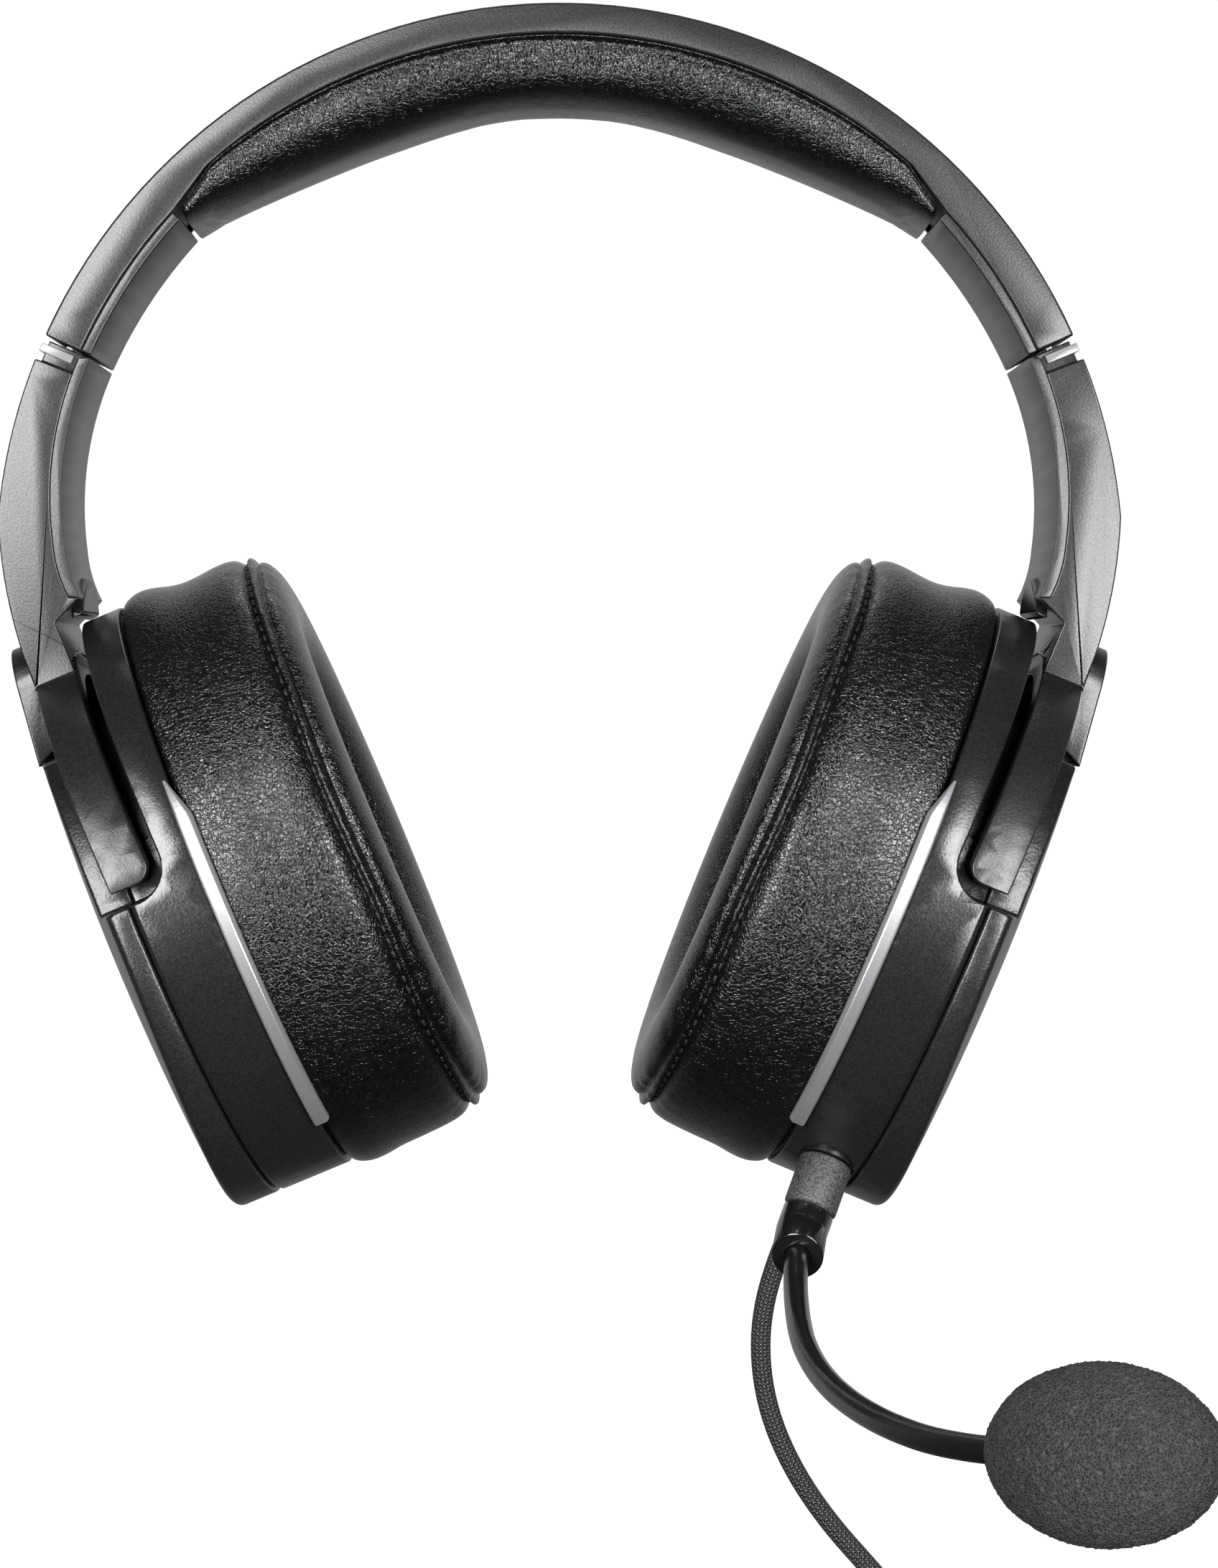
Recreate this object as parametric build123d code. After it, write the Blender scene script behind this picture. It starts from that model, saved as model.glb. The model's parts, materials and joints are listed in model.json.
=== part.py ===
from build123d import *
import os
from math import atan2, cos, degrees, hypot, pi, radians, sin, sqrt, tan

# A gaming headset, hanging as it is worn. Millimetres, +Z up. The origin is the lowest point of the head cushion's
# underside, +X is the wearer's left, where the microphone and the cable are, and -Y is the front.

# ---- headband: a nearly round arc, drawn about BAND_CENTRE_Z ----
BAND_R = 95.7              # outer radius
BAND_CENTRE_Z = -79.3
BAND_DEPTH = 31.0          # front to back
BAND_SIDE = 10.0           # half of the headband's and the arm's depth inside their walls, at the screws
END_RISE = 24.2            # angle above the horizontal where the headband ends, degrees
END_THICK = 8.5            # radial thickness at the ends, inner covers included
CROWN_THICK = 5.2          # radial thickness of the shell over the cushion
STEP_LOW, STEP_HIGH = 42.5, 48.6   # angles between which the inner edge steps from one to the other
SHELL_WALL = 1.8
COVER_WALL = 1.8
CARRIER_WALL = 1.4
SPRING_WALL = 0.6
SPRING_WIDTH = 12.0
SPRING_RISE = 50.0         # angle above the horizontal where the spring leaf ends
SOFT_GAP = 0.3
FIT = 0.2                  # clearance of a loose fit inside one casing
PIN_FIT = 0.04             # radial clearance of a running fit

# ---- cushion: the underside's outline, from the middle outwards ----
CUSHION_LOW = [(0, 0), (13.8, -1.3), (30.2, -6.4), (42.9, -11.4), (54.6, -16.5), (63.3, -20.9)]
CUSHION_EDGE = 4.0

# ---- slider: a straight strip that runs in the headband's end along a chord ----
SLIDE_RISE = 35.5          # angle above the horizontal of the chord's middle
SLIDE_R = 90.3             # the chord's distance from the centre
STRIP_WALL = 1.0
STRIP_WIDTH = 16.0
STRIP_HALF = 18.0          # half of the straight stretch inside the headband
STRIP_TAIL = 18.0          # the stretch that is screwed to the arm
SLIDE_FIT = 0.15
CLICK_PITCH = 3.0
CLICK_COUNT = 8
CLICK_HOLE = 0.8
GUIDE_HALF = 15.0
GUIDE_WIDTH = 24.0
POCKET = (13.0, 7.0, 1.3)
LEAF_WALL = 0.3

# ---- arm and yoke ----
ARM_GAP = 0.5              # between the inner covers of the headband and of the arm
ARM_RISE = 21.6            # angle where the arm's full outer section starts
NECK_STEP = 1.0            # how far the neck above it is set back
TRIM_LOW, TRIM_HIGH = 22.5, 23.4
TRIM_PROUD = 0.1           # how far the trim stands inside the band's outer radius
ARM_WALL = 2.0
YOKE_OUT = (41.5, 47.5)    # half width and half height of the arch
YOKE_WALL = 4.0
YOKE_FOOT = 6.8            # height of the legs' ends in the cup's own axes
YOKE_FOOT_OUT = (8.0, 15.5)
YOKE_TOP_OUT = (10.0, 17.3)
FOOT_ROUND = 3.0
HUB_HALF = 14.0
HUB_LOW, HUB_HIGH = 29.0, 52.0
HUB_OUT = (22.4, 19.6)     # its outer face, at its low and its high end
HUB_ROUND = 7.0
HUB_CLEAR = 0.4            # between its underside and the cover
CAP_R = 13.0               # the round cap inside the arm's foot, cut off over the cup
CAP_OUT = (81.4, 83.4)
CAP_Z = -94.0
CAP_LOW = (-87.3, -88.2)

# ---- ear cup: drawn in its own axes, x outwards, y backwards, z up along the cup ----
CUP_X, CUP_Z = 56.0, -134.0
CUP_TILT = 22.6
OVAL = (43.0, 52.0)        # half depth and half height
HOUSING_OUT = 13.2
HOUSING_WALL = 2.0
CHANNEL_OUT = 5.5          # where the yoke's channel starts at its foot
CHANNEL_LEAN = 1.6         # how much further out it starts at its top
CHANNEL_FOOT = 4.0
CHANNEL_ROUND = 6.0
YOKE_GAP = 2.5             # between the arch and the core inside it
COVER_GAP = 0.2
COVER_OUT = 23.3           # the middle of the outer face, which bulges both ways
COVER_ROUND_R = 157.0      # about the vertical
COVER_RISE_R = 460.0       # along the height
COVER_MID = -5.0           # height of its furthest point
COVER_TOP = 31.0
EDGE = 1.5
PIVOT = (10.8, 13.0)       # the tilt axis, outwards and up
PIN_R = 1.5
PIN_INNER, PIN_OUTER = 28.5, YOKE_OUT[0] - 3.3   # the pins' ends, from the middle
PIN_BOSS_R = 5.4

# ---- ear pad, driver and inside pieces ----
PAD_THICK = 27.5
PAD_HOLE = (21.0, 30.0)
PAD_EDGE = 8.0
PAD_FLARE = 1.0
BAFFLE_WALL = 2.0
CLOTH_WALL = 0.6
DRIVER_R = 20.0
DRIVER_RIM = 1.5
DRIVER_DEPTH = 4.0
MAGNET_R = 11.0
MAGNET_DEPTH = 4.5
BAR_IN, BAR_OUT = -4.0, 1.8
BAR_LOW, BAR_HIGH = -41.0, 20.6
BAR_WALL = 1.3
SCREW_R, SCREW_HEAD_R, SCREW_HEAD = 1.0, 1.7, 1.0
BOARD = (26.0, 18.0, 1.2)

# ---- microphone ----
MIC_OUT, MIC_Y, MIC_Z = 7.5, -19.0, -46.5     # where its socket leaves the cup
MIC_LEAN = (-0.42, -0.9075)                   # the socket's direction in y and z
SLEEVE_R = 4.5
SLEEVE_LONG = 9.0
SOCKET_LONG = 8.0
PLUG_R, PLUG_LONG = 1.75, 7.0
ELBOW_R = 4.3
ELBOW_END = (7.55, -32.0, -61.6)              # in the cup's axes
ELBOW_DIRECTION = (-0.925, -0.381)
BOOM_R = 2.0
BOOM = [
    (38.4, -40, -197.6), (38.1, -50, -200.6), (38.3, -60, -203.0), (39.6, -70, -205.0), (41.6, -80, -206.3),
    (44.4, -90, -207.1), (48.0, -100, -207.5), (53.0, -108.5, -207.9), (60.0, -116.5, -207.6), (68.5, -124.0, -206.3),
]
FOAM_LONG, FOAM_R = 18.0, 12.7
FOAM_AHEAD = 8.6                              # how far its middle is beyond the boom's end
CAPSULE_R, CAPSULE_LONG = 4.0, 9.0

# ---- cable ----
CABLE_R = 1.75
GLAND_OUT, GLAND_Y, GLAND_Z = 8.5, 0.0, -51.0
GLAND_R, GLAND_LONG, GLAND_ROOT = 2.75, 9.0, 4.0
EXIT_RUN = 8.6
ROUTE = [
    (35.0, -210.0), (35.0, -219.0), (37.0, -228.0), (41.2, -237.0), (47.0, -245.4), (54.2, -253.4),
    (61.0, -261.4), (66.2, -270.2),
]
COIL_CENTRE = (45.0, 0.0, -291.0)
COIL_R, COIL_HALF = 21.4, 7.0
COIL_ROUND = 3.0
TAIL = [(51.6, -316.6), (42.4, -320.2), (33.6, -326.4), (27.0, -334.4)]
TIE_WALL, TIE_WIDTH, TIE_FIT = 0.8, 8.0, 0.6
JACK_SLEEVE_R, JACK_SLEEVE_LONG = 3.6, 22.0
JACK_R, JACK_LONG = 1.75, 14.0
JACK_NECK_R, JACK_NECK = 1.45, 0.3            # the narrower root, and how much of it shows
JACK_ROOT = 5.0


# ---- shared shapes ----
def ring(outer, inner, low, high, depth):
    """A stretch of the headband's arc, between two angles above the horizontal on the wearer's left."""
    reach = 2 * outer
    wedge = Polyline((0, 0), (reach * cos(radians(low)), reach * sin(radians(low))),
                     (reach * cos(radians((low + high) / 2)), reach * sin(radians((low + high) / 2))),
                     (reach * cos(radians(high)), reach * sin(radians(high))), close=True)
    face = (Circle(outer) - Circle(inner)) & make_face(wedge)
    return raise_section(Pos(0, BAND_CENTRE_Z) * face, depth)


def raise_section(face, depth):
    """Draws a section, given in x and z, through the whole depth about y = 0."""
    return extrude(Plane.XZ * face, depth / 2, both=True)


def at_band(radius, angle, y=0.0):
    """A point at a radius and an angle above the horizontal."""
    return (radius * cos(radians(angle)), y, BAND_CENTRE_Z + radius * sin(radians(angle)))


def flat(point):
    return (point[0], point[2])


def oval(inset=0.0, half=OVAL):
    return Ellipse(half[0] - inset, half[1] - inset)


def slab(face, low, high):
    """A face in the cup's y and z, as thick as from low to high outwards."""
    return extrude(Plane.YZ.offset(low) * face, high - low)


def profile(points, half_depth):
    """An outline in the cup's outward and up directions, through its depth."""
    return extrude(Plane.XZ * make_face(Polyline(*points, close=True)), half_depth, both=True)


def rod(start, direction, radius, length):
    """A round bar from a point along a direction."""
    return extrude(Plane(start, z_dir=direction) * Circle(radius), length)


def step_along(point, direction, distance):
    return tuple(p + distance * d for p, d in zip(point, direction))


CUP = Location((CUP_X, 0, CUP_Z), (0, CUP_TILT, 0))


def from_cup(point):
    """A point given in the cup's own axes, in the headset's."""
    return tuple((CUP * Pos(*point)).position)


def cup_direction(y, z):
    return (z * sin(radians(CUP_TILT)), y, z * cos(radians(CUP_TILT)))


def screw(point, direction, length):
    """The head's underside is at the point, and the shaft goes along the direction."""
    head = rod(step_along(point, direction, -SCREW_HEAD), direction, SCREW_HEAD_R, SCREW_HEAD)
    return head + rod(point, direction, SCREW_R, length)


def screw_hole(point, direction, length):
    head = rod(step_along(point, direction, -SCREW_HEAD * 3), direction, SCREW_HEAD_R + FIT, SCREW_HEAD * 3)
    return head + rod(point, direction, SCREW_R + PIN_FIT, length + FIT)


# ---- headband ----
HALF = BAND_DEPTH / 2
INNER_END = BAND_R - END_THICK
INNER_CROWN = BAND_R - CROWN_THICK
COVER_BACK = INNER_END + COVER_WALL


def step_wedge(angle_low, angle_high, grow):
    """The stretch where the inner edge steps out to the crown, on the wearer's left."""
    corners = [at_band(COVER_BACK + grow, angle_low), at_band(INNER_CROWN + grow, angle_high),
               at_band(INNER_CROWN + grow + 3, angle_high), at_band(COVER_BACK + grow + 3, angle_low)]
    return make_face(Polyline(*[flat(c) for c in corners], close=True))


def both(shape):
    return shape + mirror(shape, about=Plane.YZ)


def chord_plane(distance):
    """The plane along the slider's chord: x down and out along it, y backwards, z away from the centre."""
    middle = at_band(distance, SLIDE_RISE)
    out = (cos(radians(SLIDE_RISE)), 0, sin(radians(SLIDE_RISE)))
    along = (sin(radians(SLIDE_RISE)), 0, -cos(radians(SLIDE_RISE)))
    return Plane(middle, x_dir=along, z_dir=out)


def carrier_screw_seats():
    for rise in (60, 120):
        for y in (-BAND_SIDE, BAND_SIDE):
            out = (cos(radians(rise)), 0, sin(radians(rise)))
            yield at_band(INNER_CROWN + SCREW_HEAD, rise, y), out


def guide_screw_seats():
    for side in (-1, 1):
        for y in (-BAND_SIDE, BAND_SIDE):
            out = (side * cos(radians(SLIDE_RISE)), 0, sin(radians(SLIDE_RISE)))
            point = at_band(COVER_BACK + FIT + SCREW_HEAD, SLIDE_RISE, y)
            yield (side * point[0], y, point[2]), out


CARRIER_SCREW = BAND_R - INNER_CROWN - SCREW_HEAD - 0.6
GUIDE_SCREW = BAND_R - COVER_BACK - SCREW_HEAD - 0.8


def headband_shell():
    span = (END_RISE, 180 - END_RISE)
    body = ring(BAND_R, INNER_CROWN, *span, BAND_DEPTH)
    body += both(ring(INNER_CROWN + 1, COVER_BACK, END_RISE, STEP_LOW, BAND_DEPTH))
    body += both(raise_section(step_wedge(STEP_LOW, STEP_HIGH, 0), BAND_DEPTH))
    inside = BAND_DEPTH - 2 * SHELL_WALL
    wall_angle = degrees(SHELL_WALL / BAND_R)
    hollow = ring(BAND_R - SHELL_WALL, INNER_CROWN - 3, STEP_HIGH, 180 - STEP_HIGH, inside)
    hollow += both(ring(BAND_R - SHELL_WALL, COVER_BACK - 3, END_RISE + wall_angle, STEP_HIGH + 0.01, inside))
    body -= hollow
    body -= both(slider_way(STRIP_HALF + 6))
    for point, out in [*carrier_screw_seats(), *guide_screw_seats()]:
        length = CARRIER_SCREW if abs(point[0]) < BAND_R / 2 + 2 else GUIDE_SCREW
        boss = rod(step_along(point, out, 1.2), out, SCREW_HEAD_R, BAND_R - SHELL_WALL + 0.5 - INNER_CROWN - 1)
        if length == CARRIER_SCREW:
            body += boss & ring(BAND_R - 1, INNER_CROWN + CARRIER_WALL, *span, BAND_DEPTH)
        body -= rod(point, out, SCREW_R + PIN_FIT, length + FIT)
    return body


def slider_way(half_length):
    """The straight channel that the strip slides in."""
    size = (2 * half_length, STRIP_WIDTH + 2 * SLIDE_FIT, STRIP_WALL + 2 * SLIDE_FIT)
    return chord_plane(SLIDE_R) * Box(*size)


def inner_cover():
    return ring(COVER_BACK, INNER_END, END_RISE, STEP_LOW, BAND_DEPTH)


def pad_carrier():
    rise = STEP_HIGH + 0.6
    body = ring(INNER_CROWN + CARRIER_WALL, INNER_CROWN, rise, 180 - rise, BAND_DEPTH - 2 * (SHELL_WALL + FIT))
    for point, out in carrier_screw_seats():
        body -= screw_hole(point, out, CARRIER_SCREW)
    return body


def spring_band():
    outer = BAND_R - SHELL_WALL - FIT
    return ring(outer, outer - SPRING_WALL, SPRING_RISE, 180 - SPRING_RISE, SPRING_WIDTH)


def headband_cushion():
    right = [(x, z) for x, z in CUSHION_LOW]
    left = [(-x, z) for x, z in reversed(CUSHION_LOW[1:])]
    low = Spline(*left, *right)
    top = [at_band(COVER_BACK - 0.4, STEP_LOW + 0.6), at_band(INNER_CROWN, STEP_HIGH + 0.6)]
    crown = at_band(INNER_CROWN, 90)
    start, end = flat(top[0]), flat(top[1])
    edges = [low, Line(right[-1], start), Line(start, end),
             ThreePointArc(end, flat(crown), (-end[0], end[1])),
             Line((-end[0], end[1]), (-start[0], start[1])), Line((-start[0], start[1]), left[0])]
    body = raise_section(make_face(edges), BAND_DEPTH - 0.4)
    rims = [e for e in body.edges() if e.length > 100 and e.center().Z < CUSHION_LOW[1][1] + 3]
    return fillet(rims, CUSHION_EDGE)


def slider_guide():
    height = BAND_R - SHELL_WALL - COVER_BACK
    plane = chord_plane(COVER_BACK + FIT + height / 2)
    body = plane * Box(2 * GUIDE_HALF, GUIDE_WIDTH, height)
    body &= ring(BAND_R - SHELL_WALL - 0.05, COVER_BACK, 0, 90, BAND_DEPTH)
    body -= slider_way(GUIDE_HALF * 2)
    pocket = chord_plane(SLIDE_R + STRIP_WALL / 2 + POCKET[2] / 2)
    body -= pocket * Box(*POCKET)
    for point, out in guide_screw_seats():
        if point[0] > 0:
            body -= screw_hole(point, out, GUIDE_SCREW)
    return body


def detent_spring():
    """A leaf that bows down to the strip from the top of the guide's pocket."""
    half = POCKET[0] / 2 - 0.4
    rise = POCKET[2] - 0.3 - LEAF_WALL
    outer = ThreePointArc((-half, rise), (0, SLIDE_FIT / 2), (half, rise))
    inner = ThreePointArc((-half, rise + LEAF_WALL), (0, SLIDE_FIT / 2 + LEAF_WALL), (half, rise + LEAF_WALL))
    face = make_face([outer, inner, Line(outer @ 0, inner @ 0), Line(outer @ 1, inner @ 1)])
    plane = chord_plane(SLIDE_R + STRIP_WALL / 2)
    side = Plane(plane.origin, x_dir=plane.x_dir, z_dir=(0, -1, 0))
    return extrude(side * face, (POCKET[1] - 1) / 2, both=True)


def headband_screws():
    screws = [screw(p, out, CARRIER_SCREW) for p, out in carrier_screw_seats()]
    screws += [screw(p, out, GUIDE_SCREW) for p, out in guide_screw_seats()]
    return screws


# ---- arm, on the wearer's left ----
ARM_TOP = END_RISE - degrees(ARM_GAP / INNER_END)


def cup_flat(out, up):
    """A point given outwards and up in the cup's axes, in the headset's x and z."""
    return flat(from_cup((out, 0, up)))


ARM_INNER = [flat(at_band(INNER_END, ARM_TOP)), (84.3, -61.5), (84.1, -75.5), (83.2, -80.3), cup_flat(4.5, 55.4)]
ARM_OUTER = [flat(at_band(BAND_R, ARM_RISE)), flat(at_band(BAND_R, 12)), flat(at_band(BAND_R, 5)),
             (94.0, -83.0), (91.2, -94.0), cup_flat(YOKE_TOP_OUT[1], 43.5)]


def inner_edge():
    a, b, c, d, e = ARM_INNER
    return [ThreePointArc(a, b, c), ThreePointArc(c, d, e)]


def arm_outline():
    """The arm's section in x and z, from the neck down to the arch's crown."""
    a, b, c, d, e, f = ARM_OUTER
    neck = flat(at_band(BAND_R - NECK_STEP, ARM_RISE))
    top = flat(at_band(BAND_R - NECK_STEP, ARM_TOP))
    foot = cup_flat(YOKE_TOP_OUT[0], 43.5)
    notch = cup_flat(YOKE_TOP_OUT[0], 53.0)
    edges = [*inner_edge(), Polyline(ARM_INNER[-1], notch, foot, f, e), ThreePointArc(e, d, c),
             ThreePointArc(c, b, a), Line(a, neck), Line(neck, top), Line(top, ARM_INNER[0])]
    return make_face(edges)


def cover_outline():
    """The inner cover's section: a strip along the arm's inner edge."""
    moved = [Pos(COVER_WALL, 0) * e for e in inner_edge()]
    start, end = ARM_INNER[0], ARM_INNER[-1]
    return make_face([*inner_edge(), *moved, Line(start, (start[0] + COVER_WALL, start[1])),
                      Line(end, (end[0] + COVER_WALL, end[1]))])


def arm_screw_seats():
    for angle in (16.0, 10.0):
        out = (cos(radians(angle)), 0, sin(radians(angle)))
        yield at_band(STRIP_TAIL_R - STRIP_WALL / 2 - PIN_FIT, angle), out


STRIP_TAIL_R = BAND_R - SHELL_WALL - 1.6
ARM_SCREW = BAND_R - STRIP_TAIL_R + STRIP_WALL / 2 - 0.8


def pin_bar(side, radius, start, end):
    """A round bar on the tilt axis, in the cup's axes, from one distance from the middle to another."""
    return Pos(PIVOT[0], side * (start + end) / 2, PIVOT[1]) * Rot(90, 0, 0) * Cylinder(radius, end - start)


def yoke_arch():
    width = profile([(YOKE_FOOT_OUT[0], YOKE_FOOT), (YOKE_FOOT_OUT[1], YOKE_FOOT), (YOKE_TOP_OUT[1], YOKE_OUT[1]),
                     (YOKE_TOP_OUT[0], YOKE_OUT[1])], YOKE_OUT[0] + 1)
    foot = [e for e in width.edges().filter_by(Axis.Y) if e.center().Z < YOKE_FOOT + 1 and e.center().X < 10]
    width = fillet(foot, FOOT_ROUND)
    hoop = Ellipse(*YOKE_OUT) - Ellipse(YOKE_OUT[0] - YOKE_WALL, YOKE_OUT[1] - YOKE_WALL)
    arch = slab(hoop, 0, COVER_OUT) & width
    for side in (-1, 1):
        arch -= pin_bar(side, PIN_R + PIN_FIT / 2, PIN_INNER, PIN_OUTER + 0.1)
    return arch


def hub_plate():
    """The plate outside the crown, with its underside round about the tilt axis to clear the cup's cover."""
    outline = RectangleRounded(2 * HUB_HALF, 2 * (HUB_HIGH - HUB_LOW), HUB_ROUND)
    plate = slab(Pos(0, HUB_LOW) * outline, YOKE_TOP_OUT[1] - 2.2, COVER_OUT + 1)
    plate &= profile([(YOKE_TOP_OUT[1] - 2.2, HUB_LOW), (HUB_OUT[0], HUB_LOW), (HUB_OUT[1], HUB_HIGH),
                      (YOKE_TOP_OUT[1] - 1.6, HUB_HIGH)], HUB_HALF + 1)
    cover_corner = COVER_OUT - (COVER_TOP - COVER_MID) ** 2 / (2 * COVER_RISE_R)
    reach = hypot(cover_corner - PIVOT[0], COVER_TOP - PIVOT[1]) + HUB_CLEAR
    return plate - Pos(PIVOT[0], 0, PIVOT[1]) * Rot(90, 0, 0) * Cylinder(reach, BAND_DEPTH * 2)


def arm_hollow():
    core = offset(arm_outline(), -ARM_WALL)
    strip = make_face([*[Pos(COVER_WALL, 0) * e for e in inner_edge()],
                       *[Pos(COVER_WALL + 3, 0) * e for e in inner_edge()],
                       *[Line((p[0] + COVER_WALL, p[1]), (p[0] + COVER_WALL + 3, p[1]))
                         for p in (ARM_INNER[0], ARM_INNER[-1])]])
    high, low = flat(at_band(BAND_R, ARM_TOP - 3))[1] - 6.5, ARM_INNER[-1][1] + 2.5
    window = Pos(BAND_R - 8, (high + low) / 2) * Rectangle(40, high - low)
    return raise_section(core, BAND_DEPTH - 2 * ARM_WALL) + raise_section(strip & window, BAND_DEPTH - 2 * ARM_WALL)


def arm_yoke():
    body = raise_section(arm_outline(), BAND_DEPTH)
    body += CUP * yoke_arch()
    body += CUP * hub_plate()
    body -= arm_hollow()
    body -= raise_section(cover_outline(), BAND_DEPTH) + arm_hub_cap()
    body -= raise_section(strip_outline(FIT), STRIP_WIDTH + 2 * FIT)
    neck = ring(BAND_R, BAND_R - NECK_STEP - 9, ARM_RISE, ARM_TOP + 1, BAND_DEPTH + 1)
    body -= neck - ring(BAND_R - NECK_STEP, INNER_END - 1, ARM_RISE, ARM_TOP + 1, BAND_DEPTH - 2 * NECK_STEP)
    for point, out in arm_screw_seats():
        boss = rod(step_along(point, out, STRIP_WALL + 0.05), out, SCREW_HEAD_R + 0.6, 3)
        body += boss & ring(BAND_R - 1, STRIP_TAIL_R + STRIP_WALL / 2 + 0.05, 0, 30, BAND_DEPTH)
        body -= rod(point, out, SCREW_R + PIN_FIT, ARM_SCREW + FIT)
    return body


def arm_inner_cover():
    body = raise_section(cover_outline(), BAND_DEPTH) - arm_hub_cap()
    return body - raise_section(strip_outline(FIT), STRIP_WIDTH + 2 * FIT)


def arm_hub_cap():
    """A round cap on the inside of the arm's foot, cut off along a slope that clears the cup."""
    disc = Pos(sum(CAP_OUT) / 2, 0, CAP_Z) * Rot(0, 90, 0) * Cylinder(CAP_R, CAP_OUT[1] - CAP_OUT[0])
    high = CAP_Z + CAP_R + 1
    return disc & raise_section(make_face(Polyline(
        (CAP_OUT[0], CAP_LOW[0]), (CAP_OUT[1], CAP_LOW[1]), (CAP_OUT[1], high), (CAP_OUT[0], high), close=True)),
        BAND_DEPTH)


def arm_trim_band():
    """A bright strip round the front, outside and back of the neck."""
    outer = ring(BAND_R - TRIM_PROUD, INNER_END + COVER_WALL + 0.8, TRIM_LOW, TRIM_HIGH, BAND_DEPTH - 0.4)
    inner = ring(BAND_R - NECK_STEP + 0.02, INNER_END, TRIM_LOW - 1, TRIM_HIGH + 1,
                 BAND_DEPTH - 2 * NECK_STEP + 0.04)
    return outer - inner


def strip_outline(grow=0.0):
    """The strip's section: straight in the headband, then bent to the arm's arc."""
    half = STRIP_WALL / 2 + grow
    corner = degrees(atan2(STRIP_HALF + 2, SLIDE_R))
    bend_angle = SLIDE_RISE - corner
    bend_r = hypot(SLIDE_R, STRIP_HALF + 2)
    plane = chord_plane(SLIDE_R)
    start = tuple((plane.location * Pos(-STRIP_HALF, 0, 0)).position)
    end = at_band(bend_r, bend_angle)
    tail = at_band(STRIP_TAIL_R, bend_angle - 3)
    last = at_band(STRIP_TAIL_R, bend_angle - 3 - degrees(STRIP_TAIL / STRIP_TAIL_R))
    middle = at_band(STRIP_TAIL_R, bend_angle - 3 - degrees(STRIP_TAIL / STRIP_TAIL_R) / 2)
    path = Polyline(flat(start), flat(end), flat(tail)) + ThreePointArc(flat(tail), flat(middle), flat(last))
    return trace(path, 2 * half)


def slider_strip():
    body = raise_section(strip_outline(), STRIP_WIDTH)
    for n in range(CLICK_COUNT + 1):
        body -= chord_plane(SLIDE_R) * Pos(n * -CLICK_PITCH + CLICK_PITCH, 0, 0) * Cylinder(CLICK_HOLE, 4)
    for point, out in arm_screw_seats():
        body -= rod(step_along(point, out, -1), out, SCREW_R + PIN_FIT, 4)
    return body


def arm_screws():
    return [screw(point, out, ARM_SCREW) for point, out in arm_screw_seats()]


def tilt_pins():
    return [CUP * pin_bar(side, PIN_R, PIN_INNER, PIN_OUTER) for side in (-1, 1)]


# ---- ear cup, in its own axes ----
def core(grow=0.0):
    """The part of the cup that lies inside the arch."""
    return oval(YOKE_WALL + YOKE_GAP + grow, YOKE_OUT)


def channel(grow=0.0):
    """The space for the arch: above the channel's foot, outside the core."""
    top = OVAL[1] + 5
    points = [(CHANNEL_OUT - grow, CHANNEL_FOOT - grow), (COVER_OUT + 9, CHANNEL_FOOT - grow), (COVER_OUT + 9, top),
              (CHANNEL_OUT + CHANNEL_LEAN - grow, top)]
    space = profile(points, OVAL[0] + 5)
    corner = [e for e in space.edges().filter_by(Axis.Y) if e.center().X < CHANNEL_OUT + 0.1 and e.center().Z < 10]
    space = fillet(corner, CHANNEL_ROUND)
    return space - slab(core(grow), -1, COVER_OUT + 9)


def cup_screw_seats():
    for y, z in ((-30, -22), (30, -22), (-20, 26), (20, 26)):
        yield (SCREW_HEAD, y, z), (1, 0, 0)


CUP_SCREW = HOUSING_OUT - SCREW_HEAD - 3.0


def cup_housing(left):
    body = slab(oval(), 0, HOUSING_OUT)
    rim = [e for e in body.edges() if e.center().X > HOUSING_OUT - 0.1]
    body = chamfer(rim, EDGE / 2)
    body -= channel()
    body -= slab(oval(HOUSING_WALL), -1, HOUSING_OUT - HOUSING_WALL) - channel(HOUSING_WALL)
    keep = slab(oval(HOUSING_WALL - 0.5), BAFFLE_WALL, HOUSING_OUT - 1) - channel(0.5)
    for point, out in cup_screw_seats():
        body += rod((BAFFLE_WALL, point[1], point[2]), out, SCREW_HEAD_R + 0.8, HOUSING_OUT - BAFFLE_WALL - 0.5)
        body -= rod(point, out, SCREW_R + PIN_FIT, CUP_SCREW + FIT)
    for side in (-1, 1):
        body += pin_bar(side, PIN_BOSS_R, PIN_INNER - 1, PIN_INNER + 5) & keep
        body -= pin_bar(side, PIN_R + PIN_FIT, PIN_INNER - 0.5, PIN_OUTER + 3)
    if left:
        body -= rod(mic_point(-SOCKET_LONG), mic_direction(), SLEEVE_R + 0.05, SOCKET_LONG + 6)
        body -= rod((GLAND_OUT, GLAND_Y, GLAND_Z + GLAND_ROOT + 4), (0, 0, -1), GLAND_R + 0.02, GLAND_ROOT + 14)
    return body


def cover_body(inset):
    low = slab(oval(inset), HOUSING_OUT + COVER_GAP, COVER_OUT) & Pos(0, 0, CHANNEL_FOOT - 60 - inset) * Box(90, 90, 120)
    high = slab(core(inset), HOUSING_OUT + COVER_GAP, COVER_OUT)
    body = low + (high & Pos(0, 0, COVER_TOP - 60 - inset) * Box(90, 90, 120))
    bulge = Rot(90, 0, 0) * Torus(COVER_RISE_R - COVER_ROUND_R, COVER_ROUND_R - inset)
    return body & Pos(COVER_OUT - COVER_RISE_R, 0, COVER_MID) * bulge


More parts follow.
